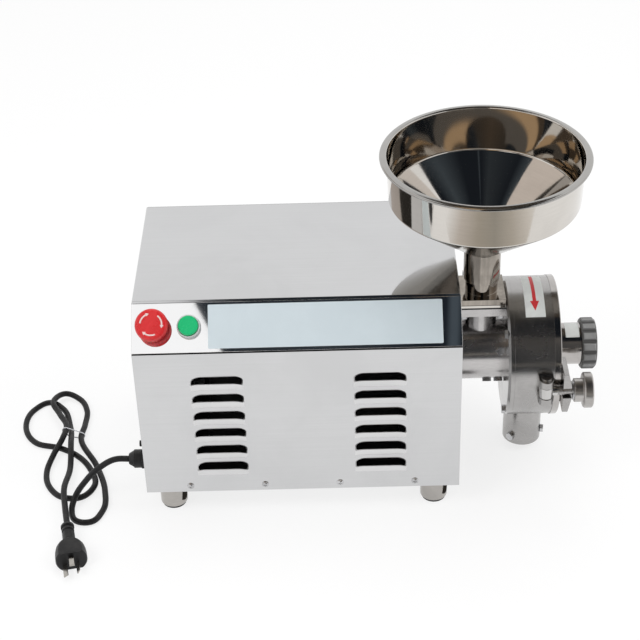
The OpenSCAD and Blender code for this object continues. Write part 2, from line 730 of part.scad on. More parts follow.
module rotating_burr() color("dimgray") on_shaft(rot_x) difference() {
    union() {
        tube(burr_d / 2, burr_eye_r, burr_t);
        cylinder(r = burr_hub_r, h = burr_hub_h);
        for (a = [0, 120, 240]) rotate([0, 0, a])
            translate([0, -spoke_w / 2, 0]) cube([burr_eye_r + 3, spoke_w, spoke_h]);
    }
    translate([0, 0, burr_t]) burr_face(1);
    translate([0, 0, -eps]) cylinder(r = 8 + fit, h = burr_t + 2 * eps);
    translate([0, 0, -eps]) cylinder(r = nose_d / 2 + fit, h = burr_t - 6 + eps);
}
module burr_nut() color("gold") on_shaft(gap_x - 4) difference() {
    cylinder(r = 14, h = 9, $fn = 6);
    translate([0, 0, -eps]) cylinder(r = 8 + fit, h = 9 + 2 * eps);
}
module static_burr() color("dimgray") on_shaft(stat_x) difference() {
    tube(burr_d / 2, burr_eye_r, burr_t);
    burr_face(-1);
}
module burr_carrier() color("silver") on_shaft(carrier_x) difference() {
    union() {
        cylinder(r = carrier_r, h = carrier_t);
        cylinder(r = burr_hub_r + 2, h = boss_end - carrier_x);
    }
    translate([0, 0, nose_seat]) cylinder(r = screw_nose_r + fit, h = boss_end - carrier_x);
    for (i = [0 : guide_n - 1]) rotate([0, 0, i * 360 / guide_n]) translate([guide_at_r, 0, -eps])
        cylinder(r = guide_r + fit, h = carrier_t + 2 * eps);
}

// ---- cover with its hub, clamp and hinge ----
module cover() color("silver") difference() {
    union() {
        on_shaft(x_mouth) cylinder(d = cover_d, h = cover_t - 1);
        on_shaft(x_hub - 1) cylinder(d1 = cover_d, d2 = cover_d - 2, h = 1);
        on_shaft(x_hub) cylinder(d = hub_d, h = hub_len);
    }
    on_shaft(x_mouth - eps) cylinder(r = screw_rad + fit, h = cover_t + hub_len + 2 * eps);
    on_shaft(x_mouth - eps) for (i = [0 : guide_n - 1]) rotate([0, 0, i * 360 / guide_n])
        translate([guide_at_r, 0, 0]) cylinder(r = guide_r + fit, h = pin_seat + eps);
    translate([at_x(x_hub + 8), 0, z_shaft - hub_d / 2 - eps])
        cylinder(r = m6_r + fit, h = hub_d / 2 - screw_rad - 2 + eps);
}
module guide_pins() color("lightgray") on_shaft(carrier_x + adjust_travel + 1)
    for (i = [0 : guide_n - 1]) rotate([0, 0, i * 360 / guide_n]) translate([guide_at_r, 0, 0])
        cylinder(r = guide_r, h = x_mouth + pin_seat - carrier_x - adjust_travel - 1);
module hub_screw() color("lightgray") translate([at_x(x_hub + 8), 0, z_shaft - hub_d / 2]) union() {
    cylinder(r = m6_r, h = hub_d / 2 - screw_rad - 2);
    translate([0, 0, -4]) cylinder(r = 4.5, h = 4);
}
module lug_profile() {
    h = lug_h / 2;
    polygon([[0, -h], [lug_t - 4, -h], [lug_t, -h / 3], [lug_t, h / 3], [lug_t - 5, h], [0, h]]);
}
module cover_lugs() color("silver") union() {
    difference() {
        translate([at_x(x_hub), -ring_r + 22, z_shaft]) rotate([90, 0, 0])
            linear_extrude(22 + bolt_off + lug_reach) lug_profile();
        translate([at_x(x_hub) - eps, clamp_y - lug_reach - eps, z_shaft - lug_slot])
            cube([lug_t + 2 * eps, lug_reach + eps, 2 * lug_slot]);
        translate([at_x(x_hub) - eps, clamp_y, z_shaft]) rotate([0, 90, 0])
            cylinder(r = lug_slot, h = lug_t + 2 * eps);
    }
    difference() {
        union() {
            translate([at_x(x_mouth) + slide_gap, ring_r - 8, z_shaft - arm_half])
                cube([cover_t - slide_gap, hinge_off + 8, 2 * arm_half]);
            translate([at_x(x_mouth), hinge_y, z_shaft - arm_half]) cylinder(r = knuckle_r, h = 2 * arm_half);
        }
        on_shaft(x_mouth - eps) cylinder(r = cover_d / 2 + fit, h = cover_t + 2 * eps);
        translate([at_x(x_mouth), hinge_y, z_shaft - arm_half - eps])
            cylinder(r = pin_r + fit, h = 2 * arm_half + 2 * eps);
    }
}
module hinge_bracket() color("silver") difference() {
    for (s = [0, 1]) translate([0, 0, z_shaft]) mirror([0, 0, s])
        translate([0, 0, arm_half + slide_gap]) union() {
            translate([at_x(x_mouth) - 20, ring_r - 22, 0]) cube([20, hinge_off + 22, 11]);
            translate([at_x(x_mouth), hinge_y, 0]) cylinder(r = knuckle_r, h = 11);
        }
    on_shaft(x_mouth - 21) cylinder(r = ring_r + fit, h = 21);
    on_shaft(x_mouth - eps) cylinder(d = cover_d + 2, h = cover_t + 2 * eps);
    translate([at_x(x_mouth), hinge_y, z_shaft - 25]) cylinder(r = pin_r + fit, h = 50);
}
module hinge_pin(x, y, half) translate([at_x(x), y, z_shaft]) union() {
    translate([0, 0, -half]) cylinder(r = pin_r, h = 2 * half);
    translate([0, 0, half]) cylinder(r = pin_r + 2, h = 2);
    translate([0, 0, -half - 2]) cylinder(r = pin_r + 2, h = 2);
}
module hinge_pins() color("lightgray") union() {
    hinge_pin(x_mouth, hinge_y, arm_half + slide_gap + 11);
    hinge_pin(clamp_x, clamp_y, lug_gap + 10);
}
module clamp_bracket() color("silver") difference() {
    for (s = [0, 1]) translate([0, 0, z_shaft]) mirror([0, 0, s]) translate([0, 0, lug_gap]) union() {
        translate([at_x(clamp_x) - 9.5, clamp_y, 0]) cube([19, bolt_off + 10, 10]);
        translate([at_x(clamp_x), clamp_y, 0]) cylinder(r = 9.5, h = 10);
    }
    on_shaft(clamp_x - 12) cylinder(r = ring_r + fit, h = 24);
    translate([at_x(clamp_x), clamp_y, z_shaft - 25]) cylinder(r = pin_r + fit, h = 50);
}
module swing_bolt() color("silver") difference() {
    union() {
        translate([at_x(clamp_x), clamp_y, z_shaft - eye_t / 2]) cylinder(r = eye_r, h = eye_t);
        translate([at_x(clamp_x), clamp_y, z_shaft]) rotate([0, 90, 0])
            cylinder(r = bolt_r, h = x_nut + nut_neck_t + nut_disc_t - clamp_x - 1);
    }
    translate([at_x(clamp_x), clamp_y, z_shaft - eye_t]) cylinder(r = pin_r + fit, h = 2 * eye_t);
}
module on_bolt(x) { translate([at_x(x), clamp_y, z_shaft]) rotate([0, 90, 0]) children(); }
module clamp_washer() color("lightgray") on_bolt(x_washer) tube(12, bolt_r + fit, washer_t);
module hand_nut() color("silver") on_bolt(x_nut) difference() {
    union() {
        cylinder(d = nut_neck_d, h = nut_neck_t);
        translate([0, 0, nut_neck_t]) cylinder(d1 = nut_d - 3, d2 = nut_d, h = 1.5);
        translate([0, 0, nut_neck_t + 1.5]) cylinder(d = nut_d, h = nut_disc_t - 3);
        translate([0, 0, nut_neck_t + nut_disc_t - 1.5]) cylinder(d1 = nut_d, d2 = nut_d - 3, h = 1.5);
    }
    translate([0, 0, -eps]) cylinder(r = bolt_r + fit, h = nut_neck_t + nut_disc_t + 2 * eps);
}
module adjust_screw() color("lightgray") union() {
    on_shaft(carrier_x + nose_seat) cylinder(r = screw_nose_r, h = boss_end + 1 - carrier_x - nose_seat);
    on_shaft(boss_end + 1) cylinder(r = screw_rad, h = x_hub_end + knob_gap + knob_seat - boss_end - 1);
}
module adjust_knob() color("dimgray") on_shaft(x_hub_end + knob_gap) difference() {
    union() {
        cylinder(d1 = knob_d - 4, d2 = knob_d, h = 2);
        translate([0, 0, 2]) cylinder(d = knob_d, h = knob_t - 5);
        translate([0, 0, knob_t - 3]) cylinder(d1 = knob_d, d2 = knob_d - 6, h = 3);
    }
    for (i = [0 : knob_lobes - 1]) rotate([0, 0, i * 360 / knob_lobes])
        translate([knob_d / 2 + 2.4, 0, -eps]) cylinder(r = 4.6, h = knob_t + 2 * eps);
    translate([0, 0, -eps]) cylinder(r = screw_rad + fit, h = knob_seat + eps);
    translate([0, 0, knob_t - 2]) tube(knob_d / 2 - 9, 14, 2 + eps);
}

// ---- hopper ----
module hopper_bowl() color("silver") translate([at_x(x_throat), 0, 0]) rotate_extrude($fn = 96) union() {
    lean = cone_h / (bowl_low_d / 2 - spigot_r);
    inner_z = hopper_t * norm([1, lean]);
    inner_r = spigot_r - inner_z / lean;
    polygon([[spigot_r, z_cone], [bowl_low_d / 2, z_wall], [bowl_d / 2, z_rim - hopper_t],
             [rim_d / 2 - 2, z_rim - 3 * hopper_t], [rim_d / 2 - 2, z_rim - 2 * hopper_t],
             [bowl_d / 2 + 1.5, z_rim], [bowl_d / 2 - hopper_t, z_rim - 1],
             [bowl_low_d / 2 - hopper_t, z_wall + inner_z - hopper_t * lean],
             [inner_r, z_cone]]);
    translate([rim_d / 2 - 2, z_rim - 2.8]) circle(r = 2, $fn = 24);
}
module hopper_spigot() color("silver") translate([at_x(x_throat), 0, z_cone - spigot_len]) union() {
    tube(spigot_r, throat_r + spigot_slip, spigot_len);
    translate([0, 0, spigot_len - seat_t]) tube(spigot_r, throat_bore_r + spigot_slip, seat_t);
}

// ---- controls ----
module stop_collar() color("dimgray") on_panel(stop_x, button_up) union() {
    tube(14.5, stem_r + fit, 4);
    translate([0, 0, -barrel_len]) tube(barrel_r, stem_r + fit, barrel_len + eps);
}
module stop_stem() color("black") on_panel(stop_x, button_up)
    translate([0, 0, stop_travel + 1 - barrel_len])
        cylinder(r = stem_r, h = barrel_len + stop_rise - 12 - stop_travel - 1);
module stop_head() color("crimson") on_panel(stop_x, button_up)
    translate([0, 0, stop_rise - 17]) difference() {
        union() {
            cylinder(d1 = stop_d - 8, d2 = stop_d, h = 4);
            translate([0, 0, 4]) cylinder(d = stop_d, h = 10);
            translate([0, 0, 14]) cylinder(d1 = stop_d, d2 = stop_d - 6, h = 3);
        }
        translate([0, 0, -eps]) cylinder(r = stem_r + fit, h = 5 + eps);
    }
module start_bezel() color("white") on_panel(start_x, button_up) difference() {
    union() {
        cylinder(d1 = bezel_d, d2 = bezel_d - 1.5, h = bezel_h);
        translate([0, 0, -barrel_len]) cylinder(r = barrel_r, h = barrel_len + eps);
    }
    translate([0, 0, bezel_h - 8]) cylinder(d = start_d + 2 * slide_gap, h = 8 + eps);
    translate([0, 0, -barrel_len + 2]) cylinder(r = stem_r + fit, h = barrel_len + bezel_h);
}
module start_cap() color("mediumseagreen") on_panel(start_x, button_up) union() {
    translate([0, 0, bezel_h - 7 + start_travel]) cylinder(d = start_d, h = 10 - start_travel);
    translate([0, 0, bezel_h + 3]) cylinder(d1 = start_d, d2 = start_d - 2, h = 1);
    translate([0, 0, start_travel + 3 - barrel_len]) cylinder(r = stem_r, h = barrel_len + bezel_h - 9);
}
module contact_blocks() color("darkgray") for (x = [stop_x, start_x])
    on_panel(x, button_up) translate([-13, -13, -barrel_len - 34]) cube([26, 26, 34]);
module reset_body() color("black") translate(gland_at + [0, 0, reset_up]) rotate([0, -90, 0]) difference() {
    union() {
        cylinder(r = reset_r + 2, h = 2.5);
        translate([0, 0, -30]) cylinder(r = reset_r, h = 30 + eps);
    }
    translate([0, 0, -8]) cylinder(r = reset_cap_r + fit, h = 12);
}
module reset_cap() color("black") translate(gland_at + [0, 0, reset_up]) rotate([0, -90, 0])
    translate([0, 0, reset_travel - 7]) cylinder(r = reset_cap_r, h = 14 - reset_travel);

// ---- lead ----
module cable_gland() color("black") translate(gland_at) rotate([0, -90, 0]) difference() {
    union() {
        cylinder(d = gland_af / cos(30), h = gland_flange_t, $fn = 6);
        translate([0, 0, -12]) cylinder(r = gland_r, h = 12 + eps);
        translate([0, 0, -sheet - 6]) cylinder(d = (gland_af + 2) / cos(30), h = 6, $fn = 6);
    }
    translate([0, 0, -13]) cylinder(r = cord_r + 1, h = 13 + gland_flange_t + eps);
}
module gland_nut() color("black") translate(gland_at - [gland_flange_t, 0, 0]) rotate([0, -90, 0]) union() {
    cylinder(d = gland_af, h = gland_nut_t);
    translate([0, 0, gland_nut_t])
        cylinder(d1 = gland_af - 2, d2 = cord_d + 6, h = gland_len - gland_flange_t - gland_nut_t);
}
module power_cord() {
    line = cord_line(cord_steps);
    last = len(line) - 1;
    fine = cord_line(fine_steps);
    apart = 3 * fine_steps / 2;
    echo(cord_gap = min([for (a = [0 : len(fine) - apart - 1], b = [a + apart : len(fine) - 1])
        if (norm(fine[a] - fine[b]) < 3 * cord_d) norm(fine[a] - fine[b])]) - cord_d);
    rings = [for (k = [0 : last])
        let (ahead = k == 0 ? heading(0) : k == last ? heading(cord_last) : unit(line[k + 1] - line[k - 1]),
             side = unit(cross([0, 0, 1], ahead)),
             up = cross(ahead, side))
        for (j = [0 : cord_sides - 1])
            let (a = (j + 0.5) * 360 / cord_sides)
            line[k] + cord_r * (cos(a) * side + sin(a) * up)];
    walls = [for (k = [0 : last - 1], j = [0 : cord_sides - 1])
        let (a = k * cord_sides + j, b = k * cord_sides + (j + 1) % cord_sides)
        each [[a, a + cord_sides, b], [b, a + cord_sides, b + cord_sides]]];
    ends = [for (j = [1 : cord_sides - 2])
        each [[0, j, j + 1], last * cord_sides * [1, 1, 1] + [0, j + 1, j]]];
    color("black") polyhedron(rings, concat(walls, ends));
}
module cord_tie() color("white") {
    strands = [for (s = tie_at) on_cord(s[0], s[1])];
    translate([0, tie_y + tie_w / 2, 0]) rotate([90, 0, 0]) linear_extrude(tie_w) difference() {
        hull() for (q = strands) translate([q.x, q.z]) circle(r = cord_r + slide_gap + tie_t, $fn = 32);
        hull() for (q = strands) translate([q.x, q.z]) circle(r = cord_r + slide_gap, $fn = 32);
    }
}
module on_plug(z) {
    end = heading(cord_last);
    translate(cord_pts[cord_last] + z * end) rotate([90, 0, atan2(end.x, -end.y)]) children();
}
module plug_body() color("black") union() {
    on_plug(0) rotate_extrude() polygon([
        [0, 0], [relief_r, 0], [relief_r + 0.6, 1], [relief_r + 0.6, 4], [relief_r - 1.5, 5],
        [relief_r - 1.5, 7], [relief_r, 8], [relief_r, 11], [relief_r - 1.5, 12], [relief_r - 1.5, 14],
        [relief_r, 15], [relief_r, relief_len], [0, relief_len]]);
    intersection() {
        on_plug(relief_len) rotate_extrude() polygon([
            [0, 0], [relief_r + 0.5, 0], [11, 3], [15.5, 8], [18, 13], [19.3, 19],
            [plug_r, 25], [plug_r, plug_len - relief_len - 2], [plug_r - 1.5, plug_len - relief_len],
            [0, plug_len - relief_len]]);
        on_plug(relief_len) translate([-plug_r - eps, -plug_half, -eps])
            cube([2 * plug_r + 2 * eps, 2 * plug_half, plug_len]);
    }
}
module plug_blades() color("silver") on_plug(plug_len) for (b = blades)
    rotate([0, 0, b[1]]) translate([b[0], 0, 0]) rotate([0, 0, b[2] - b[1]])
        translate([-blade.x / 2, -blade.y / 2, 0]) cube([blade.x, blade.y, b[3]]);

wrap_cover();
front_panel();
rear_panel();
control_panel();
base_tray();
feet();
foot_pads();
panel_screws();
motor_shell();
end_shields();
stator();
fan_cowl();
ball_bearings();
capacitors();
auger_housing();
shaft_seal();
throat_gasket();
gate_guide();
throat_tube();
hex_bolts();
chamber_ring();
chamber_back();
discharge_spout();
clamp_bracket();
hinge_bracket();
hinge_pins();
cable_gland();
gland_nut();
power_cord();
cord_tie();
plug_body();
plug_blades();
stop_collar();
start_bezel();
contact_blocks();
reset_body();
hopper_bowl();
hopper_spigot();
feed_gate();
stop_stem();
stop_head();
start_cap();
reset_cap();
motor_shaft();
rotor_core();
cooling_fan();
auger();
rotating_burr();
burr_nut();
cover();
cover_lugs();
guide_pins();
hub_screw();
static_burr();
burr_carrier();
adjust_screw();
adjust_knob();
swing_bolt();
clamp_washer();
hand_nut();
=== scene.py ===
import json
import math
import bpy
import bmesh
from mathutils import Matrix, Vector

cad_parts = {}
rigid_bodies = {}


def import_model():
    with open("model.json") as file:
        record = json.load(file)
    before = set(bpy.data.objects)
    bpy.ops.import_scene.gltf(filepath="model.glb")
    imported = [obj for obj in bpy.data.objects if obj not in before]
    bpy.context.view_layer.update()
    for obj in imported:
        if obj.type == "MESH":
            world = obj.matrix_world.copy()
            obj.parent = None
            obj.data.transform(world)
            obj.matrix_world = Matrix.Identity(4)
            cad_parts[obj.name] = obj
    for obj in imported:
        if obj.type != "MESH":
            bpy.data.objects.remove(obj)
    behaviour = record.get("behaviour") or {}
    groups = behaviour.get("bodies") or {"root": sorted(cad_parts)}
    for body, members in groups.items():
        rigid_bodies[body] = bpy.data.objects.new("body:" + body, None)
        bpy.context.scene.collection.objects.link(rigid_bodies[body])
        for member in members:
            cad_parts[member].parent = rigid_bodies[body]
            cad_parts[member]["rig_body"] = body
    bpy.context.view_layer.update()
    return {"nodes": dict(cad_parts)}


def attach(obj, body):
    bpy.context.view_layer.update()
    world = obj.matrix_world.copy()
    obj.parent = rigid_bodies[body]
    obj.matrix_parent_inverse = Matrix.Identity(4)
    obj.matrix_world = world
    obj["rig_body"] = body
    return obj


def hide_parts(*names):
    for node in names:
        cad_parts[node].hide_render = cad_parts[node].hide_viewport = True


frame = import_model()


# ---- Camera ----
# The mill is looked down on from a standing person's height, straight on to its front, through
# a long portrait lens. The camera is rolled a little.
def stood(name, data):
    """An object in the scene, made of a mesh, a lamp or a lens."""
    made = bpy.data.objects.new(name, data)
    bpy.context.scene.collection.objects.link(made)
    return made


eye = Vector((-0.0334, -1.7344, 1.4226))
yaw, pitch, roll = math.radians(-0.37), math.radians(35.05), math.radians(-1.64)
ahead = Vector((math.sin(yaw) * math.cos(pitch), math.cos(yaw) * math.cos(pitch), -math.sin(pitch)))
level = Vector((math.cos(yaw), -math.sin(yaw), 0))
upright = level.cross(ahead)
right = math.cos(roll) * level + math.sin(roll) * upright
above = math.cos(roll) * upright - math.sin(roll) * level
lens = bpy.data.cameras.new("lens")
lens.lens, lens.sensor_width, lens.shift_x = 92.45, 36, -0.02
lens.clip_start, lens.clip_end = 0.05, 60
camera = stood("camera", lens)
camera.matrix_world = Matrix.Translation(eye) @ Matrix((right, above, -ahead)).transposed().to_4x4()
bpy.context.scene.camera = camera

# ---- Mains lead ----
# A round three-core flex with a soft black sheath, 8 mm across. It drops from the gland to the
# floor, runs round two loops that a wire tie gathers, and ends in its moulded plug.
sheath_r = 0.004
lead_run = [
    (-310.7, -104, 69), (-327, -104, 69), (-352, -104, 54), (-371, -104, 33),
    (-385, -110, 14), (-389, -129, 5), (-381, -148, 4), (-361, -150, 4),
    (-349, -130, 4), (-350, -90, 4), (-366, -40, 4), (-394, 20, 5.6),
    (-392, 50, 4), (-393, 82, 4), (-405, 106, 5), (-426, 114, 10),
    (-440, 96, 12.8), (-428, 64, 13), (-415, 36, 14.5), (-417, 8, 14.5),
    (-426, -18, 9), (-432, -50, 4), (-424, -81, 4), (-405, -101, 4),
    (-380, -102, 4), (-365, -80, 4), (-374, -46, 4), (-395, -17, 4),
    (-420, 0, 4), (-454, 12, 4), (-474, 50, 4), (-467, 86, 4),
    (-447, 102, 4), (-428, 88, 4), (-412, 46, 4), (-404, -5, 14),
    (-401, -44, 6.5), (-402, -98, 13.8), (-396, -134, 13.5), (-389, -168, 13.5)]


def smooth_run(marks, steps):
    """Points along the curve through the marks, which never dips below the floor."""
    at = [Vector(m) / 1000 for m in marks]
    gap = [b - a for a, b in zip(at, at[1:])]
    way = [gap[0].normalized()]
    for a, b in zip(gap, gap[1:]):
        way.append((a.normalized() * b.length + b.normalized() * a.length).normalized())
    way.append(gap[-1].normalized())
    line = []
    for i, g in enumerate(gap):
        for k in range(steps):
            t = k / steps
            q = ((2 * t**3 - 3 * t**2 + 1) * at[i] + (3 * t**2 - 2 * t**3) * at[i + 1]
                 + ((t**3 - 2 * t**2 + t) * way[i] + (t**3 - t**2) * way[i + 1]) * g.length)
            line.append(Vector((q.x, q.y, max(q.z, sheath_r))))
    return line + [at[-1]]


def as_mesh(name, shape, stuff, crease=0):
    """The drawn shape as a mesh of one material, with its faces turned outwards."""
    bmesh.ops.recalc_face_normals(shape, faces=shape.faces)
    mesh = bpy.data.meshes.new(name)
    shape.to_mesh(mesh)
    shape.free()
    if crease:
        mesh.set_sharp_from_angle(angle=math.radians(crease))
    mesh.materials.append(stuff)
    return mesh


def tube_along(name, line, radius, sides, stuff):
    """A closed round tube along a line, with its length and its turn as UVs in metres."""
    shape = bmesh.new()
    uv = shape.loops.layers.uv.new("run")
    rings, far = [], [0.0]
    turn = 2 * math.pi * radius / sides
    for k, p in enumerate(line):
        a, b = line[max(k - 1, 0)], line[min(k + 1, len(line) - 1)]
        run = (b - a).normalized()
        side = Vector((0, 0, 1)).cross(run).normalized()
        top = run.cross(side)
        rings.append([shape.verts.new(p + radius * (math.cos(t) * side + math.sin(t) * top))
                      for t in (2 * math.pi * j / sides for j in range(sides))])
        if k:
            far.append(far[-1] + (p - line[k - 1]).length)
    for k in range(len(line) - 1):
        for j in range(sides):
            n = (j + 1) % sides
            f = shape.faces.new((rings[k][j], rings[k][n], rings[k + 1][n], rings[k + 1][j]))
            f.smooth = True
            for loop, u, v in zip(f.loops, (j, j + 1, j + 1, j), (k, k, k + 1, k + 1)):
                loop[uv].uv = (u * turn, far[v])
    shape.faces.new(rings[0][::-1])
    shape.faces.new(rings[-1])
    return stood(name, as_mesh(name, shape, stuff))


def effect(name, inputs, outputs):
    """An empty shader group with its two ends. Its inputs are vectors and numbers with their
    usual values, and its outputs are numbers."""
    tree = bpy.data.node_groups.new(name, "ShaderNodeTree")
    for label, value in inputs.items():
        kind = "NodeSocketFloat" if isinstance(value, float) else "NodeSocketVector"
        tree.interface.new_socket(label, in_out="INPUT", socket_type=kind).default_value = value
    for label in outputs:
        tree.interface.new_socket(label, in_out="OUTPUT", socket_type="NodeSocketFloat")
    return tree, tree.nodes.new("NodeGroupInput").outputs, tree.nodes.new("NodeGroupOutput").inputs


def feed(tree, node, inputs):
    """Gives each named input of a node its plain value or the socket that feeds it."""
    for key, value in inputs.items():
        if isinstance(value, bpy.types.NodeSocket):
            tree.links.new(value, node.inputs[key])
        else:
            node.inputs[key].default_value = value


def wire(tree, kind, inputs=(), **settings):
    """A node in the tree with its settings and its inputs."""
    node = tree.nodes.new(kind)
    for key, value in settings.items():
        setattr(node, key, value)
    feed(tree, node, dict(inputs))
    return node


def worked(tree, operation, *inputs):
    """The result of one sum on numbers and sockets."""
    return wire(tree, "ShaderNodeMath", dict(enumerate(inputs)), operation=operation).outputs[0]


def spread(tree, value, **ends):
    """A value spread from one stretch to another."""
    inputs = {key.replace("_", " ").title(): end for key, end in ends.items()}
    return wire(tree, "ShaderNodeMapRange", {"Value": value, **inputs}).outputs["Result"]


def mixed(tree, share, a, b):
    """The colour that lies between two others."""
    return wire(tree, "ShaderNodeMix", {"Factor": share, "A": a, "B": b}, data_type="RGBA").outputs["Result"]


# Grain: fine streaks in the surface, drawn out along one direction.
grain, laid, told = effect("grain", {"Where": (0, 0, 0), "Fineness": (1, 1, 1)}, ["Height", "Streaks"])
drawn = wire(grain, "ShaderNodeVectorMath", {0: laid["Where"], 1: laid["Fineness"]}, operation="MULTIPLY")
fine = wire(grain, "ShaderNodeTexNoise",
            {"Vector": drawn.outputs[0], "Scale": 1.0, "Detail": 4.0, "Roughness": 0.6})
grain.links.new(fine.outputs["Fac"], told["Height"])
grain.links.new(spread(grain, fine.outputs["Fac"], from_min=0.35, from_max=0.65), told["Streaks"])

# Handling: soft smears from hands and cloths, and a few hairline scratches.
handling, held, told = effect("handling", {"Where": (0, 0, 0), "Smears": 14.0, "Scratches": 60.0},
                              ["Smear", "Scratch"])
smear = wire(handling, "ShaderNodeTexNoise",
             {"Vector": held["Where"], "Scale": held["Smears"], "Detail": 5.0, "Roughness": 0.55,
              "Distortion": 0.6})
soft = wire(handling, "ShaderNodeMapRange",
            {"Value": smear.outputs["Fac"], "From Min": 0.38, "From Max": 0.72},
            interpolation_type="SMOOTHSTEP")
handling.links.new(soft.outputs["Result"], told["Smear"])
drawn = wire(handling, "ShaderNodeMapping",
             {"Vector": held["Where"], "Rotation": (0.5, 0.3, 0.6), "Scale": (1.0, 0.04, 1.0)})
lines = wire(handling, "ShaderNodeTexVoronoi",
             {"Vector": drawn.outputs[0], "Scale": held["Scratches"], "Randomness": 1.0},
             feature="DISTANCE_TO_EDGE")
hair = spread(handling, lines.outputs["Distance"], from_min=0.006, from_max=0.0, to_max=0.5)
rare = wire(handling, "ShaderNodeTexNoise", {"Vector": held["Where"], "Scale": 22.0, "Detail": 1.0})
here = spread(handling, rare.outputs["Fac"], from_min=0.58, from_max=0.66)
handling.links.new(worked(handling, "MULTIPLY", hair, here), told["Scratch"])

# Settled dust: a thin pale film on whatever faces upwards, thicker in patches.
dust, lying, told = effect("settled_dust", {"Where": (0, 0, 0), "Amount": 0.3}, ["Mask"])
facing = wire(dust, "ShaderNodeTexCoord")
split = wire(dust, "ShaderNodeSeparateXYZ", {0: facing.outputs["Normal"]})
upward = spread(dust, split.outputs["Z"], from_min=0.3, from_max=1.0)
patch = wire(dust, "ShaderNodeTexNoise",
             {"Vector": lying["Where"], "Scale": 45.0, "Detail": 6.0, "Roughness": 0.7})
thick = spread(dust, patch.outputs["Fac"], from_min=0.4, from_max=0.8)
film = worked(dust, "MULTIPLY", worked(dust, "MULTIPLY", upward, thick), lying["Amount"])
dust.links.new(film, told["Mask"])


def moulded(name, colour, rough, skin=900.0, depth=0.15, dusty=0.25, worn=0.06, shine=0.5, where="Object"):
    """Moulded rubber or plastic: a fine skin, smears that change its gloss, and a little dust."""
    stuff = bpy.data.materials.new(name)
    stuff.use_nodes = True
    tree = stuff.node_tree
    shader = tree.nodes["Principled BSDF"]
    place = wire(tree, "ShaderNodeTexCoord")
    point = place.outputs["Object"]
    marks = wire(tree, "ShaderNodeGroup", node_tree=handling)
    feed(tree, marks, {"Where": point, "Smears": 40.0, "Scratches": 140.0})
    film = wire(tree, "ShaderNodeGroup", node_tree=dust)
    feed(tree, film, {"Where": point, "Amount": dusty})
    smear = marks.outputs["Smear"]
    pale = [min(1, c * (1 + worn * 4) + worn * 0.4) for c in colour]
    rubbed = mixed(tree, smear, (*colour, 1), (*pale, 1))
    dusted = mixed(tree, film.outputs["Mask"], rubbed, (0.62, 0.60, 0.56, 1))
    pores = wire(tree, "ShaderNodeTexNoise", {"Vector": place.outputs[where], "Scale": skin, "Detail": 3.0})
    bump = wire(tree, "ShaderNodeBump",
                {"Height": pores.outputs["Fac"], "Strength": depth, "Distance": 0.0004})
    gloss = spread(tree, smear, to_min=rough - 0.05, to_max=rough + 0.1)
    shader.inputs["Roughness"].default_value = rough
    feed(tree, shader, {"Base Color": dusted, "Roughness": gloss, "Specular IOR Level": shine,
                        "Normal": bump.outputs["Normal"]})
    return stuff


def softened(node, width, stuff, name=None, segments=2, crease=0):
    """A copy of a CAD node as it really is, with its sharp edges rounded over a little."""
    name = name or node + "_finished"
    source = frame["nodes"][node]
    mesh = source.data.copy()
    mesh.name = name
    shape = bmesh.new()
    shape.from_mesh(mesh)
    bmesh.ops.remove_doubles(shape, verts=shape.verts, dist=2e-6)
    bmesh.ops.dissolve_limit(shape, angle_limit=math.radians(0.4), verts=shape.verts, edges=shape.edges)
    for f in shape.faces:
        f.smooth = True
        f.material_index = 0
    shape.to_mesh(mesh)
    shape.free()
    if "custom_normal" in mesh.attributes:
        mesh.attributes.remove(mesh.attributes["custom_normal"])
    if crease:
        mesh.set_sharp_from_angle(angle=math.radians(crease))
    mesh.materials.clear()
    mesh.materials.append(stuff)
    made = stood(name, mesh)
    round_over = made.modifiers.new("rounded edges", "BEVEL")
    round_over.width, round_over.segments = width, segments
    round_over.limit_method, round_over.angle_limit = "ANGLE", math.radians(32)
    round_over.harden_normals = True
    round_over.use_clamp_overlap = True
    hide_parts(node)
    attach(made, source["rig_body"])
    return made


sheath = moulded("cord_sheath", (0.008, 0.008, 0.009), 0.46, skin=1400.0, depth=0.12, dusty=0.05, worn=0.01,
                 shine=0.3, where="UV")
lead_line = smooth_run(lead_run, 8)
lead = tube_along("mains_lead", lead_line, sheath_r, 20, sheath)
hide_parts("power_cord")
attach(lead, "casing")

# The tie is a flat strip of silvery wire-cored film, wound once round the three strands.
tie_film = moulded("tie_film", (0.66, 0.67, 0.70), 0.3, skin=700.0, depth=0.3, dusty=0.0, worn=0.03)
tie = softened("cord_tie", 0.0002, tie_film, "wire_tie")

# The plug is one piece of black vinyl moulded over its pins, with a ribbed sleeve for the lead.
# The gland, its nut and the reset button at the lead's exit are of the same black vinyl.
plug_vinyl = moulded("plug_vinyl", (0.009, 0.009, 0.010), 0.42, skin=1100.0, depth=0.2, dusty=0.05, worn=0.01,
                     shine=0.3)
plug = softened("plug_body", 0.0006, plug_vinyl, "moulded_plug")
for node in ("cable_gland", "gland_nut", "reset_body", "reset_cap"):
    softened(node, 0.0005, plug_vinyl)


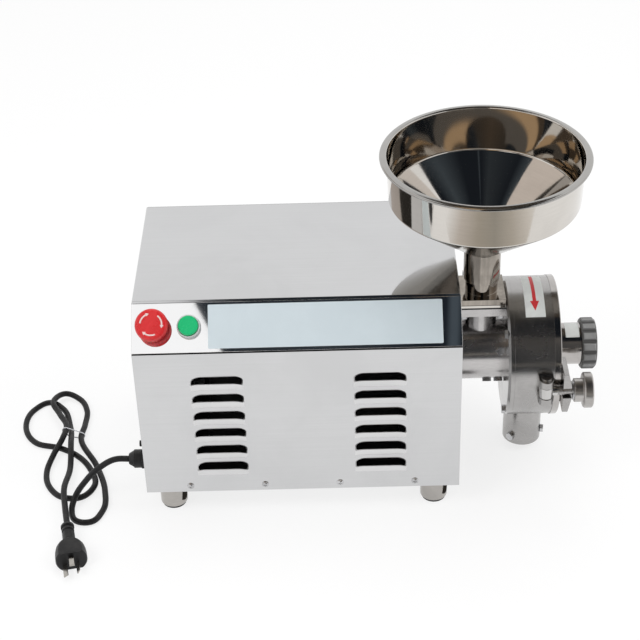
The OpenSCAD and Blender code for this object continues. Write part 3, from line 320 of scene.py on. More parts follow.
def metal(name, colour, rough, fineness=(60, 60, 60), relief=0.0, smears=14.0, dull=0.06, dark=0.12):
    """Bare metal: streaks of its grain, smears that dull it, and a few scratches."""
    stuff = bpy.data.materials.new(name)
    stuff.use_nodes = True
    tree = stuff.node_tree
    shader = tree.nodes["Principled BSDF"]
    point = wire(tree, "ShaderNodeTexCoord").outputs["Object"]
    lay = wire(tree, "ShaderNodeGroup", node_tree=grain)
    feed(tree, lay, {"Where": point, "Fineness": fineness})
    marks = wire(tree, "ShaderNodeGroup", node_tree=handling)
    feed(tree, marks, {"Where": point, "Smears": smears})
    smear = marks.outputs["Smear"]
    shade = mixed(tree, smear, (*colour, 1), (*[c * (1 - dark) for c in colour], 1))
    faint = worked(tree, "MULTIPLY", lay.outputs["Streaks"], 0.35)
    streaked = mixed(tree, faint, shade, (*[c * (1 - dark * 1.6) for c in colour], 1))
    marred = worked(tree, "ADD", smear, marks.outputs["Scratch"])
    feed(tree, shader, {"Metallic": 1.0, "Base Color": streaked,
                        "Roughness": spread(tree, marred, to_min=rough, to_max=rough + dull)})
    if relief:
        bump = wire(tree, "ShaderNodeBump",
                    {"Height": lay.outputs["Height"], "Strength": relief, "Distance": 0.0002})
        feed(tree, shader, {"Normal": bump.outputs["Normal"]})
    return stuff


# The three flat blades are plated brass.
blade_metal = metal("blade_metal", (0.50, 0.48, 0.445), 0.22, (900, 90, 90), relief=0.1)
blades = softened("plug_blades", 0.0003, blade_metal, "plug_pins")

# ---- Feet ----
# Four turned feet are screwed into the folded tray below the box, each on a rubber pad.
# Their lower edge is turned off at an angle.
# This steel is toned darker than bare turned steel, as painted shade for the shadow under the casing that the
# feet mirror.
turned_steel = metal("turned_steel", (0.46, 0.44, 0.415), 0.10, (90, 90, 1600), relief=0.05, smears=20.0,
                     dull=0.10, dark=0.14)
pad_rubber = moulded("pad_rubber", (0.03, 0.03, 0.032), 0.7)
softened("foot_pads", 0.0006, pad_rubber)


def eased(profile, radius, steps=4):
    """The closed profile with each corner rounded, as far as its sides leave room."""
    out = []
    for i, (r, h) in enumerate(profile):
        here, last, then = Vector((r, h)), Vector(profile[i - 1]), Vector(profile[(i + 1) % len(profile)])
        a, b = last - here, then - here
        room = min(radius, 0.45 * a.length, 0.45 * b.length)
        if r < 1e-6 or room < 1e-5:
            out.append(here)
            continue
        for k in range(steps + 1):
            t = k / steps
            p, q = here + a.normalized() * room, here + b.normalized() * room
            out.append((1 - t) ** 2 * p + 2 * t * (1 - t) * here + t * t * q)
    return out


def turned(name, profile, foot, way, stuff, body, sides=96):
    """A closed piece turned about an axis: its profile is (radius, height) from the foot."""
    way = Vector(way).normalized()
    side = way.orthogonal().normalized()
    cross = way.cross(side)
    shape = bmesh.new()
    rings = []
    for r, h in profile:
        middle = Vector(foot) + h * way
        rings.append([shape.verts.new(middle)] if r < 1e-7 else
                     [shape.verts.new(middle + r * (math.cos(t) * side + math.sin(t) * cross))
                      for t in (2 * math.pi * j / sides for j in range(sides))])
    for a, b in zip(rings, rings[1:] + rings[:1]):
        for j in range(sides if len(a) + len(b) > 2 else 0):
            n = (j + 1) % sides
            corners = ([a[0]] if len(a) == 1 else [a[j], a[n]]) + ([b[0]] if len(b) == 1 else [b[n], b[j]])
            shape.faces.new(corners).smooth = True
    made = stood(name, as_mesh(name, shape, stuff, crease=40))
    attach(made, body)
    return made


foot_xs, foot_y = (-0.257, 0.081), 0.108
foot_r, foot_top = 0.0175, 0.037
pad_top, edge_off = 0.003, 0.0015
foot_profile = [(0, pad_top), (foot_r - edge_off, pad_top), (foot_r, pad_top + edge_off),
                (foot_r, foot_top), (0, foot_top)]
for row, y in (("front", -foot_y), ("rear", foot_y)):
    for side, x in zip(("left", "right"), foot_xs):
        foot = turned(f"foot_{row}_{side}", eased(foot_profile, 0.0006), (x, y, 0), (0, 0, 1), turned_steel,
                      "casing", 64)
        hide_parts("feet")

# ---- Casing sheets ----
# The front and rear sheets have two columns of louvres pressed outwards, whose mouths face up.
# One more sheet is folded over the top and both sides. Their inner faces are painted near black, as painted
# shade for the dark inside of the box.
box_left, box_right, box_half = -0.288, 0.112, 0.134
box_floor, box_top, front_h = 0.037, 0.302, 0.219
slope = math.radians(45.63)
panel_foot = Vector((box_left, -box_half, box_floor + front_h))
panel_up = Vector((0, math.cos(slope), math.sin(slope)))
panel_out = Vector((0, -math.sin(slope), math.cos(slope)))
steel_sheet = metal("steel_sheet", (0.63, 0.632, 0.638), 0.045, (5, 900, 900), smears=9.0, dull=0.05,
                    dark=0.05)
# The inside finish is painted shade: near black where little light gets into the box.
inside_shade_black = moulded("inside_shade_black", (0.012, 0.012, 0.012), 0.75, skin=300.0, depth=0.1, dusty=0.0,
                       worn=0.01)

# The louvres' hoods are stretched duller, and mirror what the flat of the sheet mirrors. Their steel is also
# a lighter copy of the sheet's, as painted light on the hoods.
pressed_sheet = metal("pressed_sheet", (0.74, 0.74, 0.742), 0.3, (5, 900, 900), smears=9.0, dull=0.05,
                      dark=0.04)
tree = pressed_sheet.node_tree
place = wire(tree, "ShaderNodeTexCoord")
axes = wire(tree, "ShaderNodeSeparateXYZ", {0: place.outputs["Object"]})
straight_out = wire(tree, "ShaderNodeCombineXYZ", {"Y": worked(tree, "SIGN", axes.outputs["Y"])})
facing = wire(tree, "ShaderNodeNewGeometry")
eased_face = wire(tree, "ShaderNodeMix",
                  {"Factor": 0.8, "A": facing.outputs["Normal"], "B": straight_out.outputs[0]},
                  data_type="VECTOR")
tree.links.new(eased_face.outputs["Result"], tree.nodes["Principled BSDF"].inputs["Normal"])


def shade_inside_and_hoods(piece):
    """Gives the faces that look into the box a near-black painted shade, and the louvres' hoods their finish.
    """
    wall, tray_top, step_out = 0.0011, 0.0384, 0.0002
    piece.data.materials.append(inside_shade_black)
    piece.data.materials.append(pressed_sheet)
    for f in piece.data.polygons:
        q = f.center + 0.0005 * f.normal
        if (box_left + wall < q.x < box_right - wall and abs(q.y) < box_half - wall
                and tray_top < q.z < box_top - wall and (q - panel_foot).dot(panel_out) < -wall):
            f.material_index = 1
        elif abs(f.center.y) > box_half + step_out:
            f.material_index = 2
    return piece


for node in ("base_tray", "front_panel", "rear_panel", "wrap_cover"):
    shade_inside_and_hoods(softened(node, 0.0005, steel_sheet, crease=20))

# ---- Sheet screws ----
# Zinc-plated pan heads with a cross recess, four along the front's lower edge and four behind.
# They hold the two sheets to the folded tray.
zinc = metal("zinc_plate", (0.62, 0.62, 0.63), 0.26, (300, 300, 300), relief=0.1, smears=40.0, dull=0.1,
             dark=0.2)


def growth(name, **inputs):
    """An empty Geometry Nodes tree with its named inputs, and its two ends."""
    tree = bpy.data.node_groups.new(name, "GeometryNodeTree")
    tree.interface.new_socket("Geometry", in_out="INPUT", socket_type="NodeSocketGeometry")
    tree.interface.new_socket("Geometry", in_out="OUTPUT", socket_type="NodeSocketGeometry")
    for label, kind in inputs.items():
        tree.interface.new_socket(label, in_out="INPUT", socket_type="NodeSocket" + kind)
    return tree, tree.nodes.new("NodeGroupInput").outputs, tree.nodes.new("NodeGroupOutput").inputs


def shifted(tree, geometry, by):
    """The geometry, moved along a vector."""
    return wire(tree, "GeometryNodeTransform", {"Geometry": geometry, "Translation": by}).outputs[0]


def vector(tree, **axes):
    """A vector put together from its parts."""
    return wire(tree, "ShaderNodeCombineXYZ", axes).outputs[0]


def coated(tree, geometry, finish):
    """The geometry with its copies made real and its finish on them."""
    real = wire(tree, "GeometryNodeRealizeInstances", {"Geometry": geometry})
    return wire(tree, "GeometryNodeSetMaterial", {"Geometry": real.outputs[0], "Material": finish}).outputs[0]


def grown(name, tree, start, stuff, body, **sizes):
    """Runs a tree on a start mesh, and keeps the result as a plain mesh that rides on a body."""
    seed = stood(name + "_seed", start)
    sizes["Finish"] = stuff
    grow = seed.modifiers.new("growth", "NODES")
    grow.node_group = tree
    for socket in tree.interface.items_tree:
        if socket.item_type == "SOCKET" and socket.in_out == "INPUT" and socket.name in sizes:
            grow[socket.identifier] = sizes[socket.name]
    bpy.context.view_layer.update()
    mesh = bpy.data.meshes.new_from_object(seed.evaluated_get(bpy.context.evaluated_depsgraph_get()))
    bpy.data.objects.remove(seed)
    mesh.name = name
    mesh.materials.clear()
    mesh.materials.append(stuff)
    made = stood(name, mesh)
    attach(made, body)
    return made


heads, size, heads_out = growth("cross_heads", Head="Float", Dome="Float", Rise="Float", Slot="Float",
                                Finish="Material")
drum = wire(heads, "GeometryNodeMeshCylinder",
            {"Vertices": 40, "Radius": size["Head"], "Depth": size["Head"]})
ball = wire(heads, "GeometryNodeMeshUVSphere", {"Segments": 40, "Rings": 32, "Radius": size["Dome"]})
ball_at = vector(heads, Z=worked(heads, "SUBTRACT", size["Rise"], size["Dome"]))
drum_at = vector(heads, Z=worked(heads, "MULTIPLY", size["Head"], 0.5))
dome = wire(heads, "GeometryNodeMeshBoolean", operation="INTERSECT", solver="EXACT")
heads.links.new(shifted(heads, drum.outputs["Mesh"], drum_at), dome.inputs["Mesh 2"])
heads.links.new(shifted(heads, ball.outputs["Mesh"], ball_at), dome.inputs["Mesh 2"])
length = worked(heads, "MULTIPLY", size["Slot"], 5.0)
deep = worked(heads, "MULTIPLY", size["Slot"], 3.0)
cut = wire(heads, "GeometryNodeMeshBoolean", {"Mesh 1": dome.outputs["Mesh"]}, operation="DIFFERENCE",
           solver="EXACT")
for bar in (vector(heads, X=length, Y=size["Slot"], Z=deep), vector(heads, X=size["Slot"], Y=length, Z=deep)):
    block = wire(heads, "GeometryNodeMeshCube", {"Size": bar})
    top = vector(heads, Z=size["Rise"])
    heads.links.new(shifted(heads, block.outputs["Mesh"], top), cut.inputs["Mesh 2"])
facing_out = wire(heads, "GeometryNodeInputNamedAttribute", {"Name": "out"}, data_type="FLOAT_VECTOR")
turn = wire(heads, "FunctionNodeAlignRotationToVector", {"Vector": facing_out.outputs["Attribute"]}, axis="Z")
placed = wire(heads, "GeometryNodeInstanceOnPoints",
              {"Points": size["Geometry"], "Instance": cut.outputs["Mesh"],
               "Rotation": turn.outputs["Rotation"]})
heads.links.new(coated(heads, placed.outputs[0], size["Finish"]), heads_out["Geometry"])


def marked(name, spots):
    """A mesh of bare points, each with the direction that it faces."""
    mesh = bpy.data.meshes.new(name)
    mesh.from_pydata([p for p, out in spots], [], [])
    out_of = mesh.attributes.new("out", "FLOAT_VECTOR", "POINT")
    out_of.data.foreach_set("vector", [c for p, out in spots for c in out])
    return mesh


screw_gap, screw_z = 0.0955, 0.0465
screw_spots = [(((box_left + box_right) / 2 + i * screw_gap, s * box_half, screw_z), (0, s, 0))
               for s in (-1, 1) for i in (-1.5, -0.5, 0.5, 1.5)]
screws = grown("sheet_screws", heads, marked("screw_spots", screw_spots), zinc, "casing",
               Head=0.0044, Dome=0.0059, Rise=0.0027, Slot=0.0009)
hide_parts("panel_screws")

# ---- Control panel and label ----
# A strip of mirror-bright sheet on the slope between front and top. Its label is a bare plate of
# pale satin film with small rounded corners.
bright_sheet = metal("bright_sheet", (0.93, 0.93, 0.935), 0.012, (40, 40, 40), smears=9.0, dull=0.02,
                     dark=0.03)
shade_inside_and_hoods(softened("control_panel", 0.0004, bright_sheet))


def on_slope(x, s, out=0.0):
    """A point of the control panel: x from its left end, s up from its lower edge, out from its face."""
    return panel_foot + Vector((x, 0, 0)) + s * panel_up + out * panel_out


def flat_plate(name, outline, place, thick, stuff, body):
    """A thin plate with the given outline, laid on a surface by a function of its two axes."""
    shape = bmesh.new()
    low = [shape.verts.new(place(a, b, 0.00002)) for a, b in outline]
    high = [shape.verts.new(place(a, b, thick)) for a, b in outline]
    shape.faces.new(high)
    shape.faces.new(low[::-1])
    for i in range(len(low)):
        n = (i + 1) % len(low)
        shape.faces.new((low[i], low[n], high[n], high[i]))
    made = stood(name, as_mesh(name, shape, stuff))
    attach(made, body)
    return made


def rounded(x0, x1, y0, y1, r, steps=5):
    """Outline of a rectangle with rounded corners."""
    corners = [(x1 - r, y0 + r, -90), (x1 - r, y1 - r, 0), (x0 + r, y1 - r, 90), (x0 + r, y0 + r, 180)]
    turns = [math.radians(90 * k / steps) for k in range(steps + 1)]
    return [(x + r * math.cos(math.radians(a) + t), y + r * math.sin(math.radians(a) + t))
            for x, y, a in corners for t in turns]


label_film = moulded("label_film", (0.62, 0.70, 0.74), 0.35, skin=600.0, depth=0.03, dusty=0.0, worn=0.005)
plate = flat_plate("label_plate", rounded(0.093, 0.377, 0.005, 0.059, 0.0015), on_slope, 0.0004, label_film,
                   "casing")

# ---- Stop button ----
# A red mushroom head on a black stem and collar. Three white arrows are printed on its face, for
# the turn that releases it.
stop_x, stop_up, stop_foot, stop_face = 0.027, 0.032, 0.010, 0.027
black_nylon = moulded("black_nylon", (0.02, 0.02, 0.022), 0.4)
stop_red = moulded("stop_red", (0.64, 0.018, 0.022), 0.3, skin=500.0, depth=0.03, dusty=0.0, worn=0.03)
arrow_ink = moulded("arrow_ink", (0.80, 0.62, 0.60), 0.45, skin=500.0, depth=0.03, dusty=0.0, worn=0.02)
softened("stop_collar", 0.0006, black_nylon)
softened("stop_stem", 0.0006, black_nylon)
head_profile = [(0, 0), (0.0152, 0), (0.0168, 0.0006), (0.0188, 0.0026), (0.02, 0.0055), (0.02, 0.0128),
                (0.0193, 0.0148), (0.0176, 0.0166), (0.0158, 0.017), (0, 0.017)]
head = turned("stop_head_finished", eased(head_profile, 0.0012), on_slope(stop_x, stop_up, stop_foot),
              panel_out, stop_red, "stop_head")
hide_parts("stop_head")


def ribbon(name, rows, place, thick, stuff):
    """A thin strip whose width changes along it, laid on a surface row by row."""
    shape = bmesh.new()
    back = 0.00002
    loops = [[shape.verts.new(place(t, w, out)) for w, out in ((a, back), (b, back), (b, thick), (a, thick))]
             for t, a, b in rows]
    for p, q in zip(loops, loops[1:]):
        for j in range(4):
            n = (j + 1) % 4
            shape.faces.new((p[j], p[n], q[n], q[j])).smooth = True
    shape.faces.new(loops[0][::-1])
    shape.faces.new(loops[-1])
    return as_mesh(name, shape, stuff, crease=40)


def arrow_rows(tail, neck, point, band_steps, head_steps, middle, half, barb):
    """Rows of an arrow along a turn in degrees: a plain band, and a head that ends almost in a point."""
    rows = [(tail + (neck - tail) * k / band_steps, half) for k in range(band_steps + 1)]
    rows += [(neck + (point - neck) * k / head_steps, barb * (1 - k / (1.05 * head_steps)))
             for k in range(head_steps + 1)]
    return [(math.radians(turn), middle - wide, middle + wide) for turn, wide in rows]


around, given, around_out = growth("turned_copies", Count="Int", Centre="Vector", Axis="Vector",
                                   Finish="Material")
spots = wire(around, "GeometryNodePoints", {"Count": given["Count"], "Position": given["Centre"]})
index = wire(around, "GeometryNodeInputIndex").outputs[0]
angle = worked(around, "MULTIPLY", worked(around, "DIVIDE", index, given["Count"]), 2 * math.pi)
spin = wire(around, "FunctionNodeAxisAngleToRotation", {"Axis": given["Axis"], "Angle": angle})
back = wire(around, "ShaderNodeVectorMath", {0: given["Centre"], 1: (-1, -1, -1)}, operation="MULTIPLY")
centred = shifted(around, given["Geometry"], back.outputs[0])
copies = wire(around, "GeometryNodeInstanceOnPoints",
              {"Points": spots.outputs[0], "Instance": centred, "Rotation": spin.outputs["Rotation"]})
around.links.new(coated(around, copies.outputs[0], given["Finish"]), around_out["Geometry"])


def on_head(turn, r, out):
    """A point of the stop head's face, at an angle from the right and a distance from its middle."""
    middle = on_slope(stop_x, stop_up, stop_face + out)
    return middle + r * (math.cos(turn) * Vector((1, 0, 0)) + math.sin(turn) * panel_up)


one_arrow = ribbon("one_arrow", arrow_rows(172, 116, 100, 14, 4, 0.0131, 0.0009, 0.0023), on_head, 0.00015,
                   arrow_ink)
arrows = grown("turning_arrows", around, one_arrow, arrow_ink, "stop_head",
               Count=3, Centre=on_slope(stop_x, stop_up, stop_face), Axis=panel_out)

# ---- Start button ----
# A flush green cap in a pale ring, held in a round hole of the panel. Both buttons have their
# contacts in grey nylon blocks below the sheet.
ring_white = moulded("ring_white", (0.70, 0.71, 0.72), 0.25, skin=500.0, depth=0.03, dusty=0.0, worn=0.02)
start_green = moulded("start_green", (0.003, 0.50, 0.175), 0.28, skin=500.0, depth=0.03, dusty=0.0, worn=0.02)
grey_nylon = moulded("grey_nylon", (0.22, 0.22, 0.23), 0.42)
softened("start_bezel", 0.0008, ring_white, segments=3)
softened("start_cap", 0.0006, start_green, segments=3)
softened("contact_blocks", 0.001, grey_nylon)

# ---- Motor inside the box ----
# A finned shell between two cast shields, with its fan under a cowl at the rear end and two
# capacitors beside it. The rotor's shaft runs on into the grinding head.
motor_paint = moulded("motor_paint", (0.03, 0.035, 0.04), 0.4, skin=260.0, depth=0.3, dusty=0.1)
bearing_steel = metal("bearing_steel", (0.55, 0.55, 0.56), 0.2, (300, 300, 300), smears=30.0)
can_metal = metal("can_metal", (0.35, 0.35, 0.36), 0.4, (200, 200, 200), relief=0.05)
winding = metal("winding", (0.55, 0.27, 0.12), 0.35, (900, 60, 60), relief=0.3)
rotor_cast = metal("rotor_cast", (0.6, 0.6, 0.6), 0.4, (200, 200, 200), relief=0.1)
ground_steel = metal("ground_steel", (0.60, 0.59, 0.58), 0.14, (1200, 60, 60), relief=0.03, smears=20.0,
                     dull=0.08)
for node, stuff, slot in (
        ("motor_shell", motor_paint, "motor_paint"), ("end_shields", motor_paint, "motor_paint"),
        ("fan_cowl", motor_paint, "motor_paint"), ("stator", winding, "winding_copper"),
        ("ball_bearings", bearing_steel, "bearing_steel"), ("capacitors", can_metal, "capacitor_can"),
        ("rotor_core", rotor_cast, "rotor_aluminium"), ("cooling_fan", black_nylon, "black_plastic"),
        ("motor_shaft", ground_steel, "turned_steel")):
    softened(node, 0.0006, stuff)

# ---- Feed tube and throat ----
# A turned tube bolted to the motor carries the chamber. The square throat flanges are bolted
# over it, with the gate that shuts the feed between them and a polished tube above.
satin_cast = metal("satin_cast", (0.56, 0.545, 0.54), 0.22, (120, 700, 700), relief=0.08, smears=16.0,
                   dull=0.10, dark=0.14)
polished = metal("polished", (0.66, 0.63, 0.59), 0.035, (30, 30, 30), smears=11.0, dull=0.05, dark=0.06)
# The tubes' steel is toned dark and brown, as painted reflection of the dark parts round the polished tubes.
tube_steel_painted_dark = metal("tube_steel_painted_dark", (0.42, 0.38, 0.335), 0.06, (260, 260, 4), smears=24.0, dull=0.05, dark=0.4)
for node, stuff, slot in (
        ("auger_housing", satin_cast, "machined_steel"), ("throat_gasket", pad_rubber, "rubber_pad"),
        ("gate_guide", polished, "polished_steel"), ("feed_gate", polished, "polished_steel"),
        ("throat_tube", tube_steel_painted_dark, "polished_steel"), ("hex_bolts", zinc, "zinc_screw"),
        ("shaft_seal", pad_rubber, "rubber_pad")):
    softened(node, 0.0005, stuff)

# ---- Hopper ----
# A spun dish of 1.2 mm polished stainless with a rolled rim, on a short spigot that slips over
# the throat tube.
throat_x, rim_z, wall_foot = 0.1455, 0.4402, 0.39
dish_steel = metal("dish_steel", (0.66, 0.63, 0.59), 0.05, (30, 30, 900), smears=11.0, dull=0.05, dark=0.08)
# The rolled rim and the cone's underside are darker copies of the dish steel, as painted shade on the rim and
# under the dish.
rim_steel_shaded = metal("rim_steel_shaded", (0.44, 0.43, 0.415), 0.10, (30, 30, 900), smears=11.0)
dish_underside_shade = metal("dish_underside_shade", (0.30, 0.28, 0.25), 0.14, (60, 60, 900), smears=11.0)
bowl_profile = [(0.0233, 0.3112), (0.118, 0.3852), (0.121, 0.444), (0.125, 0.4416), (0.1251, 0.4412),
                (0.127, 0.4404), (0.1284, 0.441), (0.129, 0.4424), (0.1284, 0.4438), (0.127, 0.4444),
                (0.1225, 0.4452), (0.1198, 0.4442), (0.1168, 0.3858), (0.0221, 0.3120)]
bowl = turned("dish", eased(bowl_profile, 0.0022), (throat_x, 0, 0), (0, 0, 1), dish_steel, "hopper", 192)
bowl.data.materials.append(dish_underside_shade)
bowl.data.materials.append(rim_steel_shaded)
for f in bowl.data.polygons:
    under = f.normal.z < -0.5 and f.center.z < wall_foot
    rim = f.center.z > rim_z and math.hypot(f.center.x - throat_x, f.center.y) > 0.1205
    f.material_index = 1 if under else 2 if rim else 0
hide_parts("hopper_bowl")
softened("hopper_spigot", 0.0003, tube_steel_painted_dark)

# ---- Grinding chamber ----
# A cast and turned drum, welded to its back plate, with the flour spout below. The brackets of the
# clamp and of the cover's hinge are fixed to its sides.
shaft_z, drum_r = 0.1595, 0.090
drum_steel = metal("drum_steel", (0.46, 0.45, 0.442), 0.20, (120, 700, 700), relief=0.08, smears=16.0,
                   dull=0.10, dark=0.16)
for node in ("chamber_ring", "chamber_back", "discharge_spout", "clamp_bracket", "hinge_bracket"):
    softened(node, 0.0008, drum_steel)
softened("hinge_pins", 0.0005, ground_steel)


def sticker(name, rows, reach, thick, stuff, body):
    """A strip bent round the shaft's axis, whose rows are (angle above the front horizon, x, x)."""
    def on_drum(turn, x, out):
        return Vector((x, -(reach + out) * math.cos(turn), shaft_z + (reach + out) * math.sin(turn)))
    made = stood(name, ribbon(name, rows, on_drum, thick, stuff))
    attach(made, body)
    return made


def label_rows(start, turn, steps, x0, x1):
    """Rows of a plain strip that starts at an angle and goes on over a turn, in degrees."""
    return [(math.radians(start + turn * k / steps), x0, x1) for k in range(steps + 1)]


# A bare white sticker bent over the drum, with a printed red arrow for the sense of rotation.
paper = moulded("sticker_paper", (0.72, 0.74, 0.72), 0.45, skin=700.0, depth=0.06, dusty=0.0, worn=0.03)
red_ink = moulded("red_ink", (0.60, 0.02, 0.025), 0.45, skin=700.0, depth=0.05, dusty=0.0, worn=0.03)
sticker("direction_sticker", label_rows(58, 54, 26, 0.198, 0.223), drum_r, 0.0002, paper, "casing")
sticker("direction_arrow", arrow_rows(111, 73.2, 64.2, 21, 6, 0.2105, 0.0022, 0.0058),
                drum_r + 0.0002, 0.00012, red_ink, "casing")

# ---- Burrs and feed screw ----
# Two grooved iron burrs. One is held on the shaft by a brass nut, next to the feed screw, and one
# slides on pins in the cover.
burr_iron = metal("burr_iron", (0.16, 0.155, 0.15), 0.42, (500, 500, 500), relief=0.3, smears=20.0, dull=0.2,
                  dark=0.3)
nut_brass = metal("nut_brass", (0.72, 0.55, 0.25), 0.25, (300, 300, 300), relief=0.05)
for node, stuff, slot in (
        ("auger", satin_cast, "machined_steel"), ("rotating_burr", burr_iron, "burr_iron"),
        ("static_burr", burr_iron, "burr_iron"), ("burr_nut", nut_brass, "brass_nut"),
        ("burr_carrier", ground_steel, "turned_steel"), ("guide_pins", ground_steel, "turned_steel")):
    softened(node, 0.0004, stuff)

# ---- Cover, hub and knob ----
# The turned cover closes the chamber and carries the hub, in which the knob's screw sets the
# burr. The knob is moulded in grey nylon, with flutes for the fingers.
hub_steel = metal("hub_steel", (0.50, 0.48, 0.465), 0.13, (60, 1500, 1500), relief=0.05, smears=20.0,
                  dull=0.08)
knob_grey = moulded("knob_grey", (0.235, 0.235, 0.235), 0.5, skin=800.0, depth=0.3, dusty=0.2)

# Painted shade darkens the bottoms of the knob's flutes, where shade falls.
tree = knob_grey.node_tree
place = wire(tree, "ShaderNodeTexCoord")
from_axis = wire(tree, "ShaderNodeMapping",
                 {"Vector": place.outputs["Object"], "Location": (0, 0, -shaft_z), "Scale": (0, 1, 1)})
reach = wire(tree, "ShaderNodeVectorMath", {0: from_axis.outputs[0]}, operation="LENGTH")
depth = spread(tree, reach.outputs["Value"], from_min=0.030, from_max=0.034)
flute = wire(tree, "ShaderNodeValToRGB", {0: depth})
flute.color_ramp.elements.new(0.33)
flute.color_ramp.elements.new(0.78)
for e, where, much in zip(flute.color_ramp.elements, (0.0, 0.28, 0.34, 0.80), (0.0, 0.0, 0.9, 0.0)):
    e.position, e.color = where, (much, much, much, 1)
shader = tree.nodes["Principled BSDF"]
unshaded_colour = shader.inputs["Base Color"].links[0].from_socket
flute_shade_painted = mixed(tree, flute.outputs["Color"], unshaded_colour, (0.035, 0.034, 0.033, 1))
tree.links.new(flute_shade_painted, shader.inputs["Base Color"])
softened("cover", 0.0008, hub_steel)
softened("cover_lugs", 0.0010, drum_steel)
softened("hub_screw", 0.0004, zinc)
softened("adjust_screw", 0.0005, ground_steel)
softened("adjust_knob", 0.0007, knob_grey, segments=3)
sticker("hub_sticker", label_rows(52, 58, 16, 0.255, 0.273), 0.0272, 0.00015, paper, "cover")

# ---- Clamp ----
# A steel swing bolt turns on a pin between two lugs. A washer and a turned hand nut on its
# thread press the cover shut.
clamp_at = Vector((0.221, -0.100, shaft_z))
nut_at = (0.2554, -0.100, shaft_z)
shank_r, eye_r, eye_bore, eye_half = 0.006, 0.009, 0.00405, 0.0077
threads, size, threads_out = growth("threaded_rod", Radius="Float", Depth="Float", Pitch="Float",
                                    Length="Float", Foot="Vector", Finish="Material")
sides, rings = 48, 291
field = wire(threads, "GeometryNodeMeshGrid",
             {"Size X": 1.0, "Size Y": 1.0, "Vertices X": sides + 1, "Vertices Y": rings + 1})
where = wire(threads, "GeometryNodeInputPosition")
axes = wire(threads, "ShaderNodeSeparateXYZ", {0: where.outputs[0]})
u = worked(threads, "ADD", axes.outputs["X"], 0.5)
v = spread(threads, axes.outputs["Y"], from_min=-0.5 + 1 / rings, from_max=0.5 - 1 / rings)
along = worked(threads, "MULTIPLY", v, size["Length"])
wound = worked(threads, "ADD", worked(threads, "DIVIDE", along, size["Pitch"]), u)
deep = worked(threads, "MULTIPLY", worked(threads, "PINGPONG", wound, 0.5), 2.0)
reach = worked(threads, "SUBTRACT", size["Radius"], worked(threads, "MULTIPLY", deep, size["Depth"]))
inside = worked(threads, "LESS_THAN", worked(threads, "ABSOLUTE", axes.outputs["Y"]), 0.4999)
wide = worked(threads, "MULTIPLY", reach, inside)
turned_by = worked(threads, "MULTIPLY", u, 2 * math.pi)
spot = vector(threads, X=along, Y=worked(threads, "MULTIPLY", worked(threads, "COSINE", turned_by), wide),
              Z=worked(threads, "MULTIPLY", worked(threads, "SINE", turned_by), wide))
put = wire(threads, "ShaderNodeVectorMath", {0: spot, 1: size["Foot"]}, operation="ADD")
bent = wire(threads, "GeometryNodeSetPosition",
            {"Geometry": field.outputs["Mesh"], "Position": put.outputs[0]})
closed = wire(threads, "GeometryNodeMergeByDistance", {"Geometry": bent.outputs[0], "Distance": 1e-7})
threads.links.new(coated(threads, closed.outputs[0], size["Finish"]), threads_out["Geometry"])
rod = grown("swing_bolt_thread", threads, bpy.data.meshes.new("nothing"), ground_steel, "swing_bolt",
            Radius=shank_r, Depth=0.0009, Pitch=0.00175, Length=0.0424, Foot=clamp_at + Vector((0.014, 0, 0)))
shape = bmesh.new()
shape.from_mesh(rod.data)
bmesh.ops.recalc_face_normals(shape, faces=shape.faces)
shape.to_mesh(rod.data)
shape.free()
eye_profile = [(eye_bore, -eye_half), (eye_r, -eye_half), (eye_r, eye_half), (eye_bore, eye_half)]
eye_ring = turned("swing_bolt_eye", eased(eye_profile, 0.0006), clamp_at, (0, 0, 1), ground_steel,
                  "swing_bolt", 64)
shank_profile = [(0, 0.0075), (shank_r, 0.0075), (shank_r, 0.0142), (0, 0.0142)]
shank = turned("swing_bolt_shank", eased(shank_profile, 0.0004), clamp_at, (1, 0, 0), ground_steel,
               "swing_bolt", 48)
for piece in (rod, eye_ring, shank):
    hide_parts("swing_bolt")
softened("clamp_washer", 0.0003, zinc)
nut_profile = [(0.00605, 0), (0.015, 0), (0.015, 0.011), (0.021, 0.011), (0.0225, 0.0125), (0.0225, 0.0215),
               (0.021, 0.023), (0.00605, 0.023)]
nut_steel = metal("nut_steel", (0.56, 0.54, 0.52), 0.3, (60, 900, 900), relief=0.2, smears=20.0, dull=0.08,
                  dark=0.2)
nut = turned("hand_nut_finished", eased(nut_profile, 0.0007), nut_at, (1, 0, 0), nut_steel, "hand_nut")
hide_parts("hand_nut")


# ---- Stage ----
# A white table and a white room, with pale, dark and brown cloths hung round and over the mill,
# which show in its metal only.
def seen_share(tree):
    """One for what the eye meets straight, in a mirror or through glass, and nought for the rest."""
    path = wire(tree, "ShaderNodeLightPath").outputs
    seen = worked(tree, "MAXIMUM", path["Is Camera Ray"], path["Is Glossy Ray"])
    return worked(tree, "MAXIMUM", seen, path["Is Transmission Ray"])


floor_paint = bpy.data.materials.new("table")
floor_paint.use_nodes = True
tree = floor_paint.node_tree
matt = tree.nodes["Principled BSDF"]
feed(tree, matt, {"Base Color": (0.9, 0.9, 0.9, 1), "Roughness": 0.8, "Specular IOR Level": 0.1})
share = worked(tree, "MULTIPLY", seen_share(tree), 0.72)
white = wire(tree, "ShaderNodeEmission", {"Color": (1, 1, 1, 1), "Strength": 1.06})
blend = wire(tree, "ShaderNodeMixShader", {0: share, 1: matt.outputs[0], 2: white.outputs[0]})
feed(tree, tree.nodes["Material Output"], {"Surface": blend.outputs[0]})
floor = stood("table", bpy.data.meshes.new("table"))
floor.data.from_pydata([(-9, -9, 0), (9, -9, 0), (9, 9, 0), (-9, 9, 0)], [], [(0, 1, 2, 3)])
floor.data.materials.append(floor_paint)

world = bpy.data.worlds.new("room")
bpy.context.scene.world = world
world.use_nodes = True
tree = world.node_tree
strength = spread(tree, seen_share(tree), to_min=0.52, to_max=1.0)
feed(tree, tree.nodes["Background"], {"Color": (1, 1, 1, 1), "Strength": strength})


